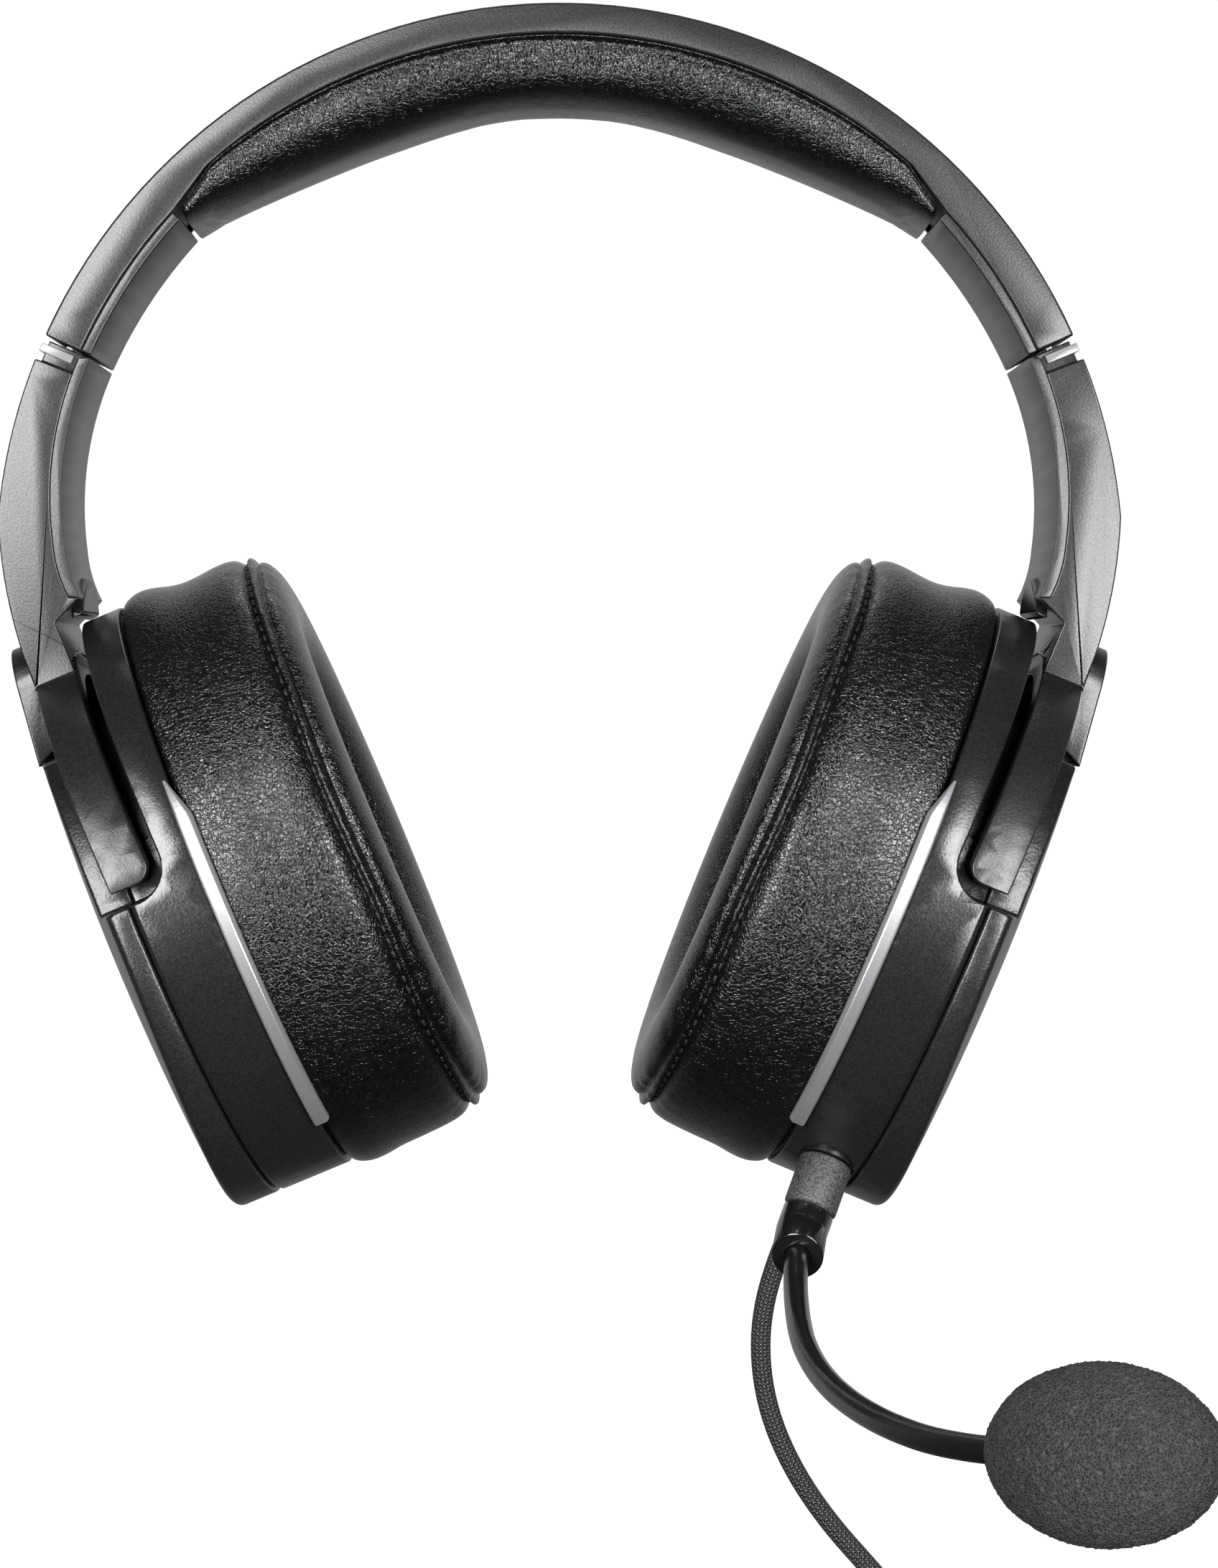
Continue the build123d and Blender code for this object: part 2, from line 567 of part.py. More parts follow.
def cup_cover():
    body = cover_body(0)
    rim = [e for e in body.edges() if e.center().X > HOUSING_OUT + 1 and e.length > 12]
    low_rim = [e for e in rim if e.center().Z < CHANNEL_FOOT - 5]
    body = fillet(low_rim, EDGE)
    return body - Pos(-0.01, 0, 0) * cover_body(HOUSING_WALL)


def accent_bars():
    """A bright strip at the front and at the back of the cup, over the joint of housing and pad."""
    hoop = Ellipse(OVAL[0] + BAR_WALL, OVAL[1] + BAR_WALL) - Ellipse(OVAL[0] + 0.02, OVAL[1] + 0.02)
    middle = (BAR_HIGH + BAR_LOW) / 2
    window = Pos(0, middle) * Rectangle(120, BAR_HIGH - BAR_LOW)
    strip = slab(hoop & window, BAR_IN, BAR_OUT)
    return strip.solids()


def ear_pad():
    body = slab(oval(SOFT_GAP), -PAD_THICK, 0)
    crest = [e for e in body.edges() if e.center().X < 1 - PAD_THICK]
    body = fillet(crest, PAD_EDGE)
    swell = slab(oval(-PAD_FLARE), BAR_IN - 10, BAR_IN - SOFT_GAP)
    body += fillet(swell.edges(), 1.0)
    return body - slab(Ellipse(*PAD_HOLE), -PAD_THICK - 1, 1)


def baffle():
    body = slab(oval(HOUSING_WALL + FIT), 0, BAFFLE_WALL)
    hole = slab(Circle(DRIVER_R), -1, BAFFLE_WALL + 1)
    body -= hole
    for y, z in ((-11, 0), (0, 0), (11, 0), (0, 11), (0, -11)):
        body += slab(Pos(y, z) * Circle(1.2), 0, 0.8)
    spokes = slab(Rectangle(2, 2 * DRIVER_R + 1), 0, 0.8) + slab(Rectangle(2 * DRIVER_R + 1, 2), 0, 0.8)
    body += spokes + slab(Circle(12.5) - Circle(10.5), 0, 0.8)
    for point, out in cup_screw_seats():
        body -= screw_hole(point, out, BAFFLE_WALL)
    return body


def cup_screws():
    return [screw(point, out, CUP_SCREW) for point, out in cup_screw_seats()]


def pad_cloth():
    return slab(Ellipse(PAD_HOLE[0] - SOFT_GAP, PAD_HOLE[1] - SOFT_GAP), -CLOTH_WALL - SOFT_GAP, -SOFT_GAP)


def driver_frame():
    body = slab(Circle(DRIVER_R + DRIVER_RIM), BAFFLE_WALL, BAFFLE_WALL + DRIVER_DEPTH)
    body -= slab(Circle(DRIVER_R - 0.5), BAFFLE_WALL - 1, BAFFLE_WALL + DRIVER_DEPTH - 1)
    return body - slab(Circle(MAGNET_R - 2), 0, BAFFLE_WALL + DRIVER_DEPTH + 1)


def driver_magnet():
    start = BAFFLE_WALL + DRIVER_DEPTH
    return slab(Circle(MAGNET_R), start, start + MAGNET_DEPTH)


def driver_diaphragm():
    start = BAFFLE_WALL
    cone = slab(Circle(DRIVER_R - 0.7), start + 0.2, start + 0.5)
    return cone + slab(Circle(MAGNET_R - 3) - Circle(MAGNET_R - 3.6), start + 0.4, start + 2.4)


def circuit_board():
    start = HOUSING_OUT + COVER_GAP
    board = slab(Pos(0, -22) * Rectangle(BOARD[0], BOARD[1]), start, start + BOARD[2])
    chip = slab(Pos(-4, -22) * Rectangle(6, 6), start + BOARD[2], start + BOARD[2] + 1)
    return board + chip


# ---- microphone, on the wearer's left ----
def mic_direction():
    return (0, *MIC_LEAN)


def mic_point(distance):
    return step_along((MIC_OUT, MIC_Y, MIC_Z), mic_direction(), distance)


def mic_socket():
    body = rod(mic_point(-SOCKET_LONG), mic_direction(), SLEEVE_R, SOCKET_LONG)
    return body - rod(mic_point(-SOCKET_LONG - 1), mic_direction(), PLUG_R + PIN_FIT, SOCKET_LONG + 2)


def mic_plug_sleeve():
    body = rod(mic_point(FIT), mic_direction(), SLEEVE_R, SLEEVE_LONG)
    return body - rod(mic_point(-1), mic_direction(), PLUG_R, 1 + FIT + SLEEVE_LONG / 2)


def mic_plug_pin():
    return rod(mic_point(-PLUG_LONG), mic_direction(), PLUG_R, PLUG_LONG + FIT + SLEEVE_LONG / 2)


def elbow_corner():
    """Where the sleeve's line meets the boom's first line, in the cup's y and z."""
    start = mic_point(FIT * 2 + SLEEVE_LONG)
    a, b = MIC_LEAN, ELBOW_DIRECTION
    dy, dz = ELBOW_END[1] - start[1], ELBOW_END[2] - start[2]
    along = (dy * b[1] - dz * b[0]) / (a[0] * b[1] - a[1] * b[0])
    return (MIC_OUT, start[1] + along * a[0], start[2] + along * a[1])


def mic_elbow():
    start = mic_point(FIT * 2 + SLEEVE_LONG)
    corner = elbow_corner()
    first = hypot(corner[1] - start[1], corner[2] - start[2])
    second = hypot(ELBOW_END[1] - corner[1], ELBOW_END[2] - corner[2])
    end = (MIC_OUT, ELBOW_END[1], ELBOW_END[2])
    body = rod(start, mic_direction(), ELBOW_R, first) + Pos(*corner) * Sphere(ELBOW_R)
    direction = (0, *ELBOW_DIRECTION)
    body += rod(corner, direction, ELBOW_R, second)
    body -= rod(end, tuple(-d for d in direction), BOOM_R + PIN_FIT, 3)
    body -= rod(start, tuple(-d for d in mic_direction()), ELBOW_R + 1, 6)
    return CUP * body


def boom_start():
    return from_cup((MIC_OUT, ELBOW_END[1], ELBOW_END[2]))


def tube(points, radius, turns=0.45):
    """A round tube along straight runs joined by arcs, each as large as its runs allow."""
    runs = [Vector(*b) - Vector(*a) for a, b in zip(points, points[1:])]
    radii = []
    for one, two in zip(runs, runs[1:]):
        turn = radians(one.get_angle(two))
        radii.append(turns * min(one.length, two.length) / tan(turn / 2))
    path = FilletPolyline(*points, radius=radii)
    body = sweep(Plane(points[0], z_dir=runs[0]) * Circle(radius), path=path)
    share = body.volume / (pi * radius ** 2 * path.length)
    print("radii", [round(r, 1) for r in radii], "length", round(path.length, 1), "volume share", round(share, 4))
    return body


def boom_route():
    start = boom_start()
    direction = cup_direction(*ELBOW_DIRECTION)
    return [step_along(start, direction, -2.6), step_along(start, direction, 3.0), *BOOM]


def mic_gooseneck():
    return tube(boom_route(), BOOM_R)


def foam_axis():
    ahead = [b - a for a, b in zip(BOOM[-2], BOOM[-1])]
    return tuple(d / sqrt(sum(c * c for c in ahead)) for d in ahead)


def mic_foam():
    """An egg of foam over the capsule, hollow where the capsule and the boom's end lie."""
    half = Pos(0, FOAM_AHEAD) * Ellipse(FOAM_R, FOAM_LONG) & Pos(FOAM_R, 0) * Rectangle(2 * FOAM_R, 4 * FOAM_LONG)
    boom_hole = Pos(0, -FOAM_LONG) * Rectangle(2 * (BOOM_R + SOFT_GAP), 2 * FOAM_LONG)
    capsule_hole = Pos(0, CAPSULE_LONG / 2) * Rectangle(2 * (CAPSULE_R + SOFT_GAP), CAPSULE_LONG + 2 * SOFT_GAP)
    face = half - boom_hole - capsule_hole
    return Plane(BOOM[-1], z_dir=foam_axis()) * revolve(Plane.XZ * face, Axis.Z)


def mic_capsule():
    return rod(BOOM[-1], foam_axis(), CAPSULE_R, CAPSULE_LONG)


# ---- cable ----
def cable_gland():
    start = (GLAND_OUT, GLAND_Y, GLAND_Z + GLAND_ROOT)
    body = rod(start, (0, 0, -1), GLAND_R, GLAND_ROOT + GLAND_LONG)
    return CUP * body


def cable_exit():
    return from_cup((GLAND_OUT, GLAND_Y, GLAND_Z - GLAND_LONG))


def upright(point):
    return (point[0], 0.0, point[1])


def cable():
    first = from_cup((GLAND_OUT, GLAND_Y, GLAND_Z - GLAND_LONG - EXIT_RUN))
    return tube([cable_exit(), first, *[upright(p) for p in ROUTE]], CABLE_R)


def cable_coil():
    """The outer shape of the cable's tied coil."""
    section = Pos(COIL_R, 0) * RectangleRounded(2 * COIL_HALF, 2 * COIL_HALF, COIL_ROUND)
    return Pos(*COIL_CENTRE) * revolve(section, Axis.Y)


def cable_tail():
    return tube([upright(p) for p in TAIL], CABLE_R)


def cable_tie():
    inside = COIL_HALF + TIE_FIT
    outer = Rectangle(2 * (inside + TIE_WALL), 2 * (inside + TIE_WALL))
    inner = Rectangle(2 * inside, 2 * inside)
    band = extrude(Plane.XY * (outer - inner), TIE_WIDTH / 2, both=True)
    return Pos(COIL_CENTRE[0] - COIL_R, 0, COIL_CENTRE[2]) * band


def tail_direction():
    (x0, z0), (x1, z1) = TAIL[-2:]
    long = hypot(x1 - x0, z1 - z0)
    return ((x1 - x0) / long, 0, (z1 - z0) / long)


def jack_plug_sleeve():
    start = upright(TAIL[-1])
    body = rod(start, tail_direction(), JACK_SLEEVE_R, JACK_SLEEVE_LONG)
    rim = body.edges()
    body = chamfer(rim, 0.8)
    end = step_along(start, tail_direction(), JACK_SLEEVE_LONG)
    return body - rod(step_along(end, tail_direction(), -JACK_ROOT), tail_direction(), JACK_NECK_R, JACK_ROOT + 1)


def jack_plug_pin():
    end = step_along(upright(TAIL[-1]), tail_direction(), JACK_SLEEVE_LONG)
    start = step_along(end, tail_direction(), -JACK_ROOT)
    body = rod(step_along(end, tail_direction(), JACK_NECK), tail_direction(), JACK_R, JACK_LONG - JACK_NECK)
    tip = [e for e in body.edges() if e.center().Z < end[2] - 6]
    return chamfer(tip, 0.7) + rod(start, tail_direction(), JACK_NECK_R, JACK_ROOT + JACK_NECK + 1)


# ---- writing ----
def save(name, shape):
    solids = shape if isinstance(shape, (list, ShapeList)) else shape.solids()
    export_step(Compound(children=list(solids)) if len(solids) > 1 else solids[0], f"parts/{name}.step")


def save_pair(name, shape):
    """The wearer's left piece, and its mirror image on the right."""
    solids = shape if isinstance(shape, (list, ShapeList)) else shape.solids()
    save(f"{name}_left", solids)
    save(f"{name}_right", [mirror(s, about=Plane.YZ) for s in solids])


def moved(shape):
    solids = shape if isinstance(shape, (list, ShapeList)) else shape.solids()
    return [CUP * s for s in solids]


os.makedirs("parts", exist_ok=True)

save("headband_shell", headband_shell())
save("pad_carrier", pad_carrier())
save("headband_cushion", headband_cushion())
save("spring_band", spring_band())
save("headband_screws", headband_screws())
save_pair("headband_inner_cover", inner_cover())
save_pair("slider_guide", slider_guide())
save_pair("detent_spring", detent_spring())

save_pair("arm_yoke", arm_yoke())
save_pair("arm_inner_cover", arm_inner_cover())
save_pair("arm_trim_band", arm_trim_band())
save_pair("arm_hub_cap", arm_hub_cap())
save_pair("slider_strip", slider_strip())
save_pair("arm_screws", arm_screws())
save_pair("tilt_pins", tilt_pins())

save("cup_housing_left", moved(cup_housing(True)))
save("cup_housing_right", [mirror(s, about=Plane.YZ) for s in moved(cup_housing(False))])
for piece in (cup_cover, accent_bars, ear_pad, pad_cloth, baffle, cup_screws, driver_frame, driver_magnet,
              driver_diaphragm):
    save_pair(piece.__name__, moved(piece()))

save("circuit_board", moved(circuit_board()))
save("mic_socket", moved(mic_socket()))
save("mic_plug_sleeve", moved(mic_plug_sleeve()))
save("mic_plug_pin", moved(mic_plug_pin()))
save("mic_elbow", mic_elbow())
save("mic_gooseneck", mic_gooseneck())
save("mic_foam", mic_foam())
save("mic_capsule", mic_capsule())

save("cable_gland", cable_gland())
save("cable", cable())
save("cable_coil", cable_coil())
save("cable_tail", cable_tail())
save("cable_tie", cable_tie())
save("jack_plug_sleeve", jack_plug_sleeve())
save("jack_plug_pin", jack_plug_pin())
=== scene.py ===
"""A gaming headset: an arched band with a leatherette head cushion, two arms that slide out of the band's ends and
carry tilting ear cups on arched yokes, thick leatherette ear pads, a detachable boom microphone with a foam
windscreen on the wearer's left, and a braided cable."""
import json
import math

import bmesh
import bpy
from mathutils import Matrix, Vector, noise


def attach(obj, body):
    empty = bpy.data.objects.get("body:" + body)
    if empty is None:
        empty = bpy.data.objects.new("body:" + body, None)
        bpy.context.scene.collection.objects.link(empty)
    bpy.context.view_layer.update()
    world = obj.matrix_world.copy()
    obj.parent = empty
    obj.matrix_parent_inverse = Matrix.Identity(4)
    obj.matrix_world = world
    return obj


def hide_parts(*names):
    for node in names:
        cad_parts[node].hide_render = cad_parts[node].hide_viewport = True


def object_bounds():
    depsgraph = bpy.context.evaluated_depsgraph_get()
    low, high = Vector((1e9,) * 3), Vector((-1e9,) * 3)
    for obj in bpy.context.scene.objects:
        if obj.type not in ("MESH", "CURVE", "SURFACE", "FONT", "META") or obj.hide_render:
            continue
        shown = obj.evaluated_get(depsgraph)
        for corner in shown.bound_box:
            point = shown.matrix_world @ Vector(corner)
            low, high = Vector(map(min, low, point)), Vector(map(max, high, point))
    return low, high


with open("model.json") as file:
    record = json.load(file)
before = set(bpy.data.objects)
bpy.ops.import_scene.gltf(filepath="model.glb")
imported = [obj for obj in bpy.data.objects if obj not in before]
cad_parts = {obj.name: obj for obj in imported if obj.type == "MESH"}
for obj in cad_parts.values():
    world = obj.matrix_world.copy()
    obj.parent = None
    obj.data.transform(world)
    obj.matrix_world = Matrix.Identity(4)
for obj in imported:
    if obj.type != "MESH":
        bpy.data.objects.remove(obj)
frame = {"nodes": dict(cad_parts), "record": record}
nodes = frame["nodes"]
record = frame["record"]
cad_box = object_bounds()
body_of = {node: body for body, names in record["behaviour"]["bodies"].items() for node in names}

# ---- Studio ----
# A white room with a pale floor well under the cable. The floor glows evenly and is left out of reflections, so it
# takes no shadow and lights nothing. Two soft boxes stand beside the camera and one above and behind, and the white
# wall behind the headset gives its edges a bright rim.
scene = bpy.context.scene
scene.view_settings.view_transform = "Standard"
EYE = Vector((0.0, -0.620, -0.099))
camera = bpy.data.objects.new("camera", bpy.data.cameras.new("camera"))
camera.location = EYE
camera.rotation_euler = (math.radians(90), 0, 0)
camera.data.lens = 81.8
camera.data.shift_x = 0.0316
camera.data.shift_y = -0.0650
camera.data.clip_start = 0.01
scene.collection.objects.link(camera)
scene.camera = camera


def soft_box(name, place, size, watts):
    """A square lamp that faces the middle of the headset."""
    data = bpy.data.lights.new(name, "AREA")
    data.shape = "RECTANGLE"
    data.size, data.size_y = size
    data.energy = watts
    lamp = bpy.data.objects.new(name, data)
    lamp.location = place
    aim = Vector((0, 0, -0.09)) - Vector(place)
    lamp.rotation_euler = aim.to_track_quat("-Z", "Y").to_euler()
    scene.collection.objects.link(lamp)


FRONT_BOX, FRONT_WATTS = (0.42, 0.8), 28
soft_box("soft_box_left", (-0.60, -1.20, 0.02), FRONT_BOX, FRONT_WATTS)
soft_box("soft_box_right", (0.60, -1.20, 0.02), FRONT_BOX, FRONT_WATTS)
soft_box("soft_box_top", (0.0, 0.55, 1.3), (1.2, 0.8), 12)


def link(tree, source, target):
    tree.links.new(source, target)


def node(tree, kind, **values):
    """One shader node, with its properties and its sockets' values set by name."""
    made = tree.nodes.new(kind)
    for key, value in values.items():
        if key in made.inputs:
            made.inputs[key].default_value = value
        else:
            setattr(made, key, value)
    return made


world = bpy.data.worlds.new("white_room")
world.use_nodes = True
scene.world = world
tree = world.node_tree
tree.nodes.clear()
where = node(tree, "ShaderNodeTexCoord")
axes = node(tree, "ShaderNodeSeparateXYZ")
link(tree, where.outputs["Generated"], axes.inputs[0])
behind = node(tree, "ShaderNodeMapRange")
behind.inputs["From Min"].default_value = 0.05
behind.inputs["From Max"].default_value = 0.75
behind.inputs["To Min"].default_value = 0.006
behind.inputs["To Max"].default_value = 0.65
link(tree, axes.outputs["Y"], behind.inputs["Value"])
above = node(tree, "ShaderNodeMapRange")
above.inputs["From Min"].default_value = -0.75
above.inputs["From Max"].default_value = 0.1
above.inputs["To Min"].default_value = 0.12
link(tree, axes.outputs["Z"], above.inputs["Value"])
both = node(tree, "ShaderNodeMath", operation="MULTIPLY")
link(tree, behind.outputs[0], both.inputs[0])
link(tree, above.outputs[0], both.inputs[1])
room = node(tree, "ShaderNodeBackground")
link(tree, both.outputs[0], room.inputs["Strength"])
white = node(tree, "ShaderNodeBackground", Strength=1.05)
for shade in (room, white):
    shade.inputs["Color"].default_value = (1, 1, 1, 1)
seen = node(tree, "ShaderNodeLightPath")
either = node(tree, "ShaderNodeMixShader")
link(tree, seen.outputs["Is Camera Ray"], either.inputs[0])
link(tree, room.outputs[0], either.inputs[1])
link(tree, white.outputs[0], either.inputs[2])
link(tree, either.outputs[0], node(tree, "ShaderNodeOutputWorld").inputs[0])

floor_mesh = bpy.data.meshes.new("floor")
FLOOR_HALF = 4.0
floor_low = cad_box[0][2] - 0.05
floor_mesh.from_pydata([(x * FLOOR_HALF, y * FLOOR_HALF, floor_low) for x, y in ((-1, -1), (1, -1), (1, 1), (-1, 1))],
                       [], [(0, 1, 2, 3)])
floor = bpy.data.objects.new("floor", floor_mesh)
scene.collection.objects.link(floor)
floor.visible_diffuse = floor.visible_glossy = False
pale = bpy.data.materials.new("pale_floor")
pale.use_nodes = True
pale_shader = pale.node_tree.nodes["Principled BSDF"]
pale_shader.inputs["Base Color"].default_value = (0, 0, 0, 1)
pale_shader.inputs["Emission Color"].default_value = (1, 1, 1, 1)
pale_shader.inputs["Emission Strength"].default_value = 1.05
floor_mesh.materials.append(pale)

# ---- Cable ----
# A 3.5 mm cable in a woven sleeve, about two metres long. It leaves the left cup's strain relief, hangs in one loose
# bend, and the rest is wound in a flat tied coil that ends in a jack plug.
MM = 0.001
CABLE_R = 1.75
CABLE_EXIT = (40.550, -192.826)
CABLE_ROUTE = [
    (37.245, -200.765), (35.0, -210.0), (35.0, -219.0), (37.0, -228.0), (41.2, -237.0), (47.0, -245.4), (54.2, -253.4),
    (61.0, -261.4), (66.2, -270.2),
]
CABLE_TAIL = [(51.6, -316.6), (42.4, -320.2), (33.6, -326.4), (27.0, -334.4)]
COIL_CENTRE = (45.0, -291.0)
COIL_OUTER, COIL_STEP, COIL_LAYERS = 26.75, 3.62, 4
COIL_START = 30.0
COIL_SWEEP = 14 * 360 + 105
COIL_TURNS_OVER = 90.0
POINTS_A_TURN = 16


def coil_points():
    """Flat spirals side by side, wound inwards and outwards by turns, with a quarter turn where one meets the next."""
    spiral = (COIL_SWEEP - (COIL_LAYERS - 1) * COIL_TURNS_OVER) / COIL_LAYERS
    points = []
    count = int(COIL_SWEEP / 360 * POINTS_A_TURN)
    for n in range(1, count):
        swept = COIL_SWEEP * n / count
        layer, along = divmod(swept, spiral + COIL_TURNS_OVER)
        inwards = layer % 2 == 0
        turned = min(along, spiral) / 360 * COIL_STEP
        depth = turned if inwards else spiral / 360 * COIL_STEP - turned
        over = max(0.0, along - spiral) / COIL_TURNS_OVER
        y = (layer + over - (COIL_LAYERS - 1) / 2) * COIL_STEP
        angle = math.radians(COIL_START - swept)
        radius = COIL_OUTER - depth
        points.append((COIL_CENTRE[0] + radius * math.cos(angle), y, COIL_CENTRE[1] + radius * math.sin(angle)))
    return points


cable_points = [(x, 0.0, z) for x, z in [CABLE_EXIT, *CABLE_ROUTE]]
cable_points += coil_points()
cable_points += [(x, 0.0, z) for x, z in CABLE_TAIL]


def spline_line(name, points):
    """The smooth line that a cord follows, as closely spaced points in metres."""
    curve = bpy.data.curves.new(name, "CURVE")
    curve.dimensions = "3D"
    curve.resolution_u = 5
    spline = curve.splines.new("NURBS")
    spline.points.add(len(points) - 1)
    for knot, point in zip(spline.points, points):
        knot.co = (*(c * MM for c in point), 1.0)
    spline.order_u = 3
    spline.use_endpoint_u = True
    holder = bpy.data.objects.new(name, curve)
    scene.collection.objects.link(holder)
    mesh = bpy.data.meshes.new_from_object(holder)
    line = [v.co.copy() for v in mesh.vertices]
    bpy.data.meshes.remove(mesh)
    bpy.data.objects.remove(holder)
    return line


def tube_mesh(name, line, radius, sides):
    """A round tube along a line, with a UV map that holds the way round and the way along, both in metres."""
    bm = bmesh.new()
    uv = bm.loops.layers.uv.new("along")
    ahead = (line[1] - line[0]).normalized()
    across = ahead.orthogonal().normalized()
    rings, run, gone = [], 0.0, []
    for i, point in enumerate(line):
        before, after = line[max(i - 1, 0)], line[min(i + 1, len(line) - 1)]
        ahead = (after - before).normalized()
        across = (across - ahead * across.dot(ahead)).normalized()
        other = ahead.cross(across)
        run += (point - before).length
        gone.append(run)
        turn = [2 * math.pi * k / sides for k in range(sides)]
        rings.append([bm.verts.new(point + radius * (math.cos(a) * across + math.sin(a) * other)) for a in turn])
    for i in range(len(rings) - 1):
        for k in range(sides):
            face = bm.faces.new((rings[i][k], rings[i][(k + 1) % sides], rings[i + 1][(k + 1) % sides],
                                 rings[i + 1][k]))
            face.smooth = True
            for loop, (a, b) in zip(face.loops, ((k, i), (k + 1, i), (k + 1, i + 1), (k, i + 1))):
                loop[uv].uv = (a / sides, gone[b] / radius)
    bm.faces.new(list(reversed(rings[0])))
    bm.faces.new(rings[-1])
    bm.normal_update()
    mesh = bpy.data.meshes.new(name)
    bm.to_mesh(mesh)
    bm.free()
    return mesh


def add_piece(name, mesh, body, material):
    """A finished piece, in place, on its body and with its finish."""
    piece = bpy.data.objects.new(name, mesh)
    scene.collection.objects.link(piece)
    mesh.materials.clear()
    mesh.materials.append(material)
    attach(piece, body)
    return piece


def new_material(name, colour, rough, **sockets):
    """A material with one surface shader, whose plain values are set on its own sockets."""
    material = bpy.data.materials.new(name)
    material.use_nodes = True
    shader = material.node_tree.nodes["Principled BSDF"]
    shader.inputs["Base Color"].default_value = (*colour, 1)
    shader.inputs["Roughness"].default_value = rough
    for key, value in sockets.items():
        shader.inputs[key.replace("_", " ").title().replace("Ior", "IOR")].default_value = value
    return material, material.node_tree, shader


def blend_colours(tree, fac, low, high, target):
    """Two colours, mixed by a value, into a colour socket."""
    ramp = node(tree, "ShaderNodeValToRGB")
    ramp.color_ramp.elements[0].color = (*low, 1)
    ramp.color_ramp.elements[1].color = (*high, 1)
    link(tree, fac, ramp.inputs[0])
    link(tree, ramp.outputs[0], target)
    return ramp


def raise_bump(tree, shader, height, depth, strength=1.0, under=None):
    """Height into the shader's normal, with its depth in metres."""
    bump = node(tree, "ShaderNodeBump", Strength=strength, Distance=depth)
    link(tree, height, bump.inputs["Height"])
    if under is not None:
        link(tree, under.outputs[0], bump.inputs["Normal"])
    link(tree, bump.outputs[0], shader.inputs["Normal"])
    return bump


def ripple(tree, shader, scale, height, detail=2.0):
    """Fine unevenness over a whole surface."""
    where = node(tree, "ShaderNodeTexCoord")
    waves = node(tree, "ShaderNodeTexNoise", Scale=scale, Detail=detail)
    link(tree, where.outputs["Object"], waves.inputs["Vector"])
    raise_bump(tree, shader, waves.outputs["Fac"], height)


braid, tree, shader = new_material("woven_sleeve", (0.012, 0.012, 0.013), 0.62)
uv_map = node(tree, "ShaderNodeUVMap", uv_map="along")
parts = node(tree, "ShaderNodeSeparateXYZ")
link(tree, uv_map.outputs[0], parts.inputs[0])


def wave_of(tree, parts, around, along):
    """A cosine that runs slantwise round the cable, from the way round and the way along."""
    first = node(tree, "ShaderNodeMath", operation="MULTIPLY")
    first.inputs[1].default_value = around * 2 * math.pi
    link(tree, parts.outputs[0], first.inputs[0])
    second = node(tree, "ShaderNodeMath", operation="MULTIPLY_ADD")
    second.inputs[1].default_value = along
    link(tree, parts.outputs[1], second.inputs[0])
    link(tree, first.outputs[0], second.inputs[2])
    wave = node(tree, "ShaderNodeMath", operation="COSINE")
    link(tree, second.outputs[0], wave.inputs[0])
    return wave.outputs[0]


STRANDS = 8
left_wave = wave_of(tree, parts, STRANDS, 9.0)
right_wave = wave_of(tree, parts, -STRANDS, 9.0)
weave = node(tree, "ShaderNodeMath", operation="MAXIMUM")
link(tree, left_wave, weave.inputs[0])
link(tree, right_wave, weave.inputs[1])
raise_bump(tree, shader, weave.outputs[0], 0.00022, 0.9)
fleck = node(tree, "ShaderNodeMath", operation="MULTIPLY")
link(tree, left_wave, fleck.inputs[0])
link(tree, right_wave, fleck.inputs[1])
flecks = blend_colours(tree, fleck.outputs[0], (0.010, 0.010, 0.011), (0.16, 0.16, 0.165), shader.inputs["Base Color"])
flecks.color_ramp.elements[0].position = 0.55
flecks.color_ramp.elements[1].position = 0.95

cable_line = spline_line("cable_line", cable_points)
cable = add_piece("braided_cable", tube_mesh("braided_cable", cable_line, CABLE_R * MM, 20), "cup_left",
                  braid)
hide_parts("cable", "cable_coil", "cable_tail")
tie, tree, shader = new_material("hook_and_loop", (0.012, 0.012, 0.013), 0.85, sheen_weight=0.4)
ripple(tree, shader, 2600.0, 0.0003, 3.0)
nodes["cable_tie"].data.materials.clear()
nodes["cable_tie"].data.materials.append(tie)

# ---- Strain relief and jack plug ----
# A tapered rubber sleeve with rings cut in it holds the cable where it leaves the left cup. The far end is a 3.5 mm
# four-pole plug: a turned, gilt pin with three insulating rings, in a moulded grip.
CUP_MIDDLE = Vector((56.0, 0.0, -134.0)) * MM
CUP_TILT = math.radians(22.6)
CUP_OUT = Vector((math.cos(CUP_TILT), 0, -math.sin(CUP_TILT)))
CUP_UP = Vector((math.sin(CUP_TILT), 0, math.cos(CUP_TILT)))
CUP_BACK = Vector((0, 1, 0))


def in_cup(out, back, up):
    """A point given in the left cup's own axes and millimetres, in the headset's metres."""
    return CUP_MIDDLE + (out * CUP_OUT + back * CUP_BACK + up * CUP_UP) * MM


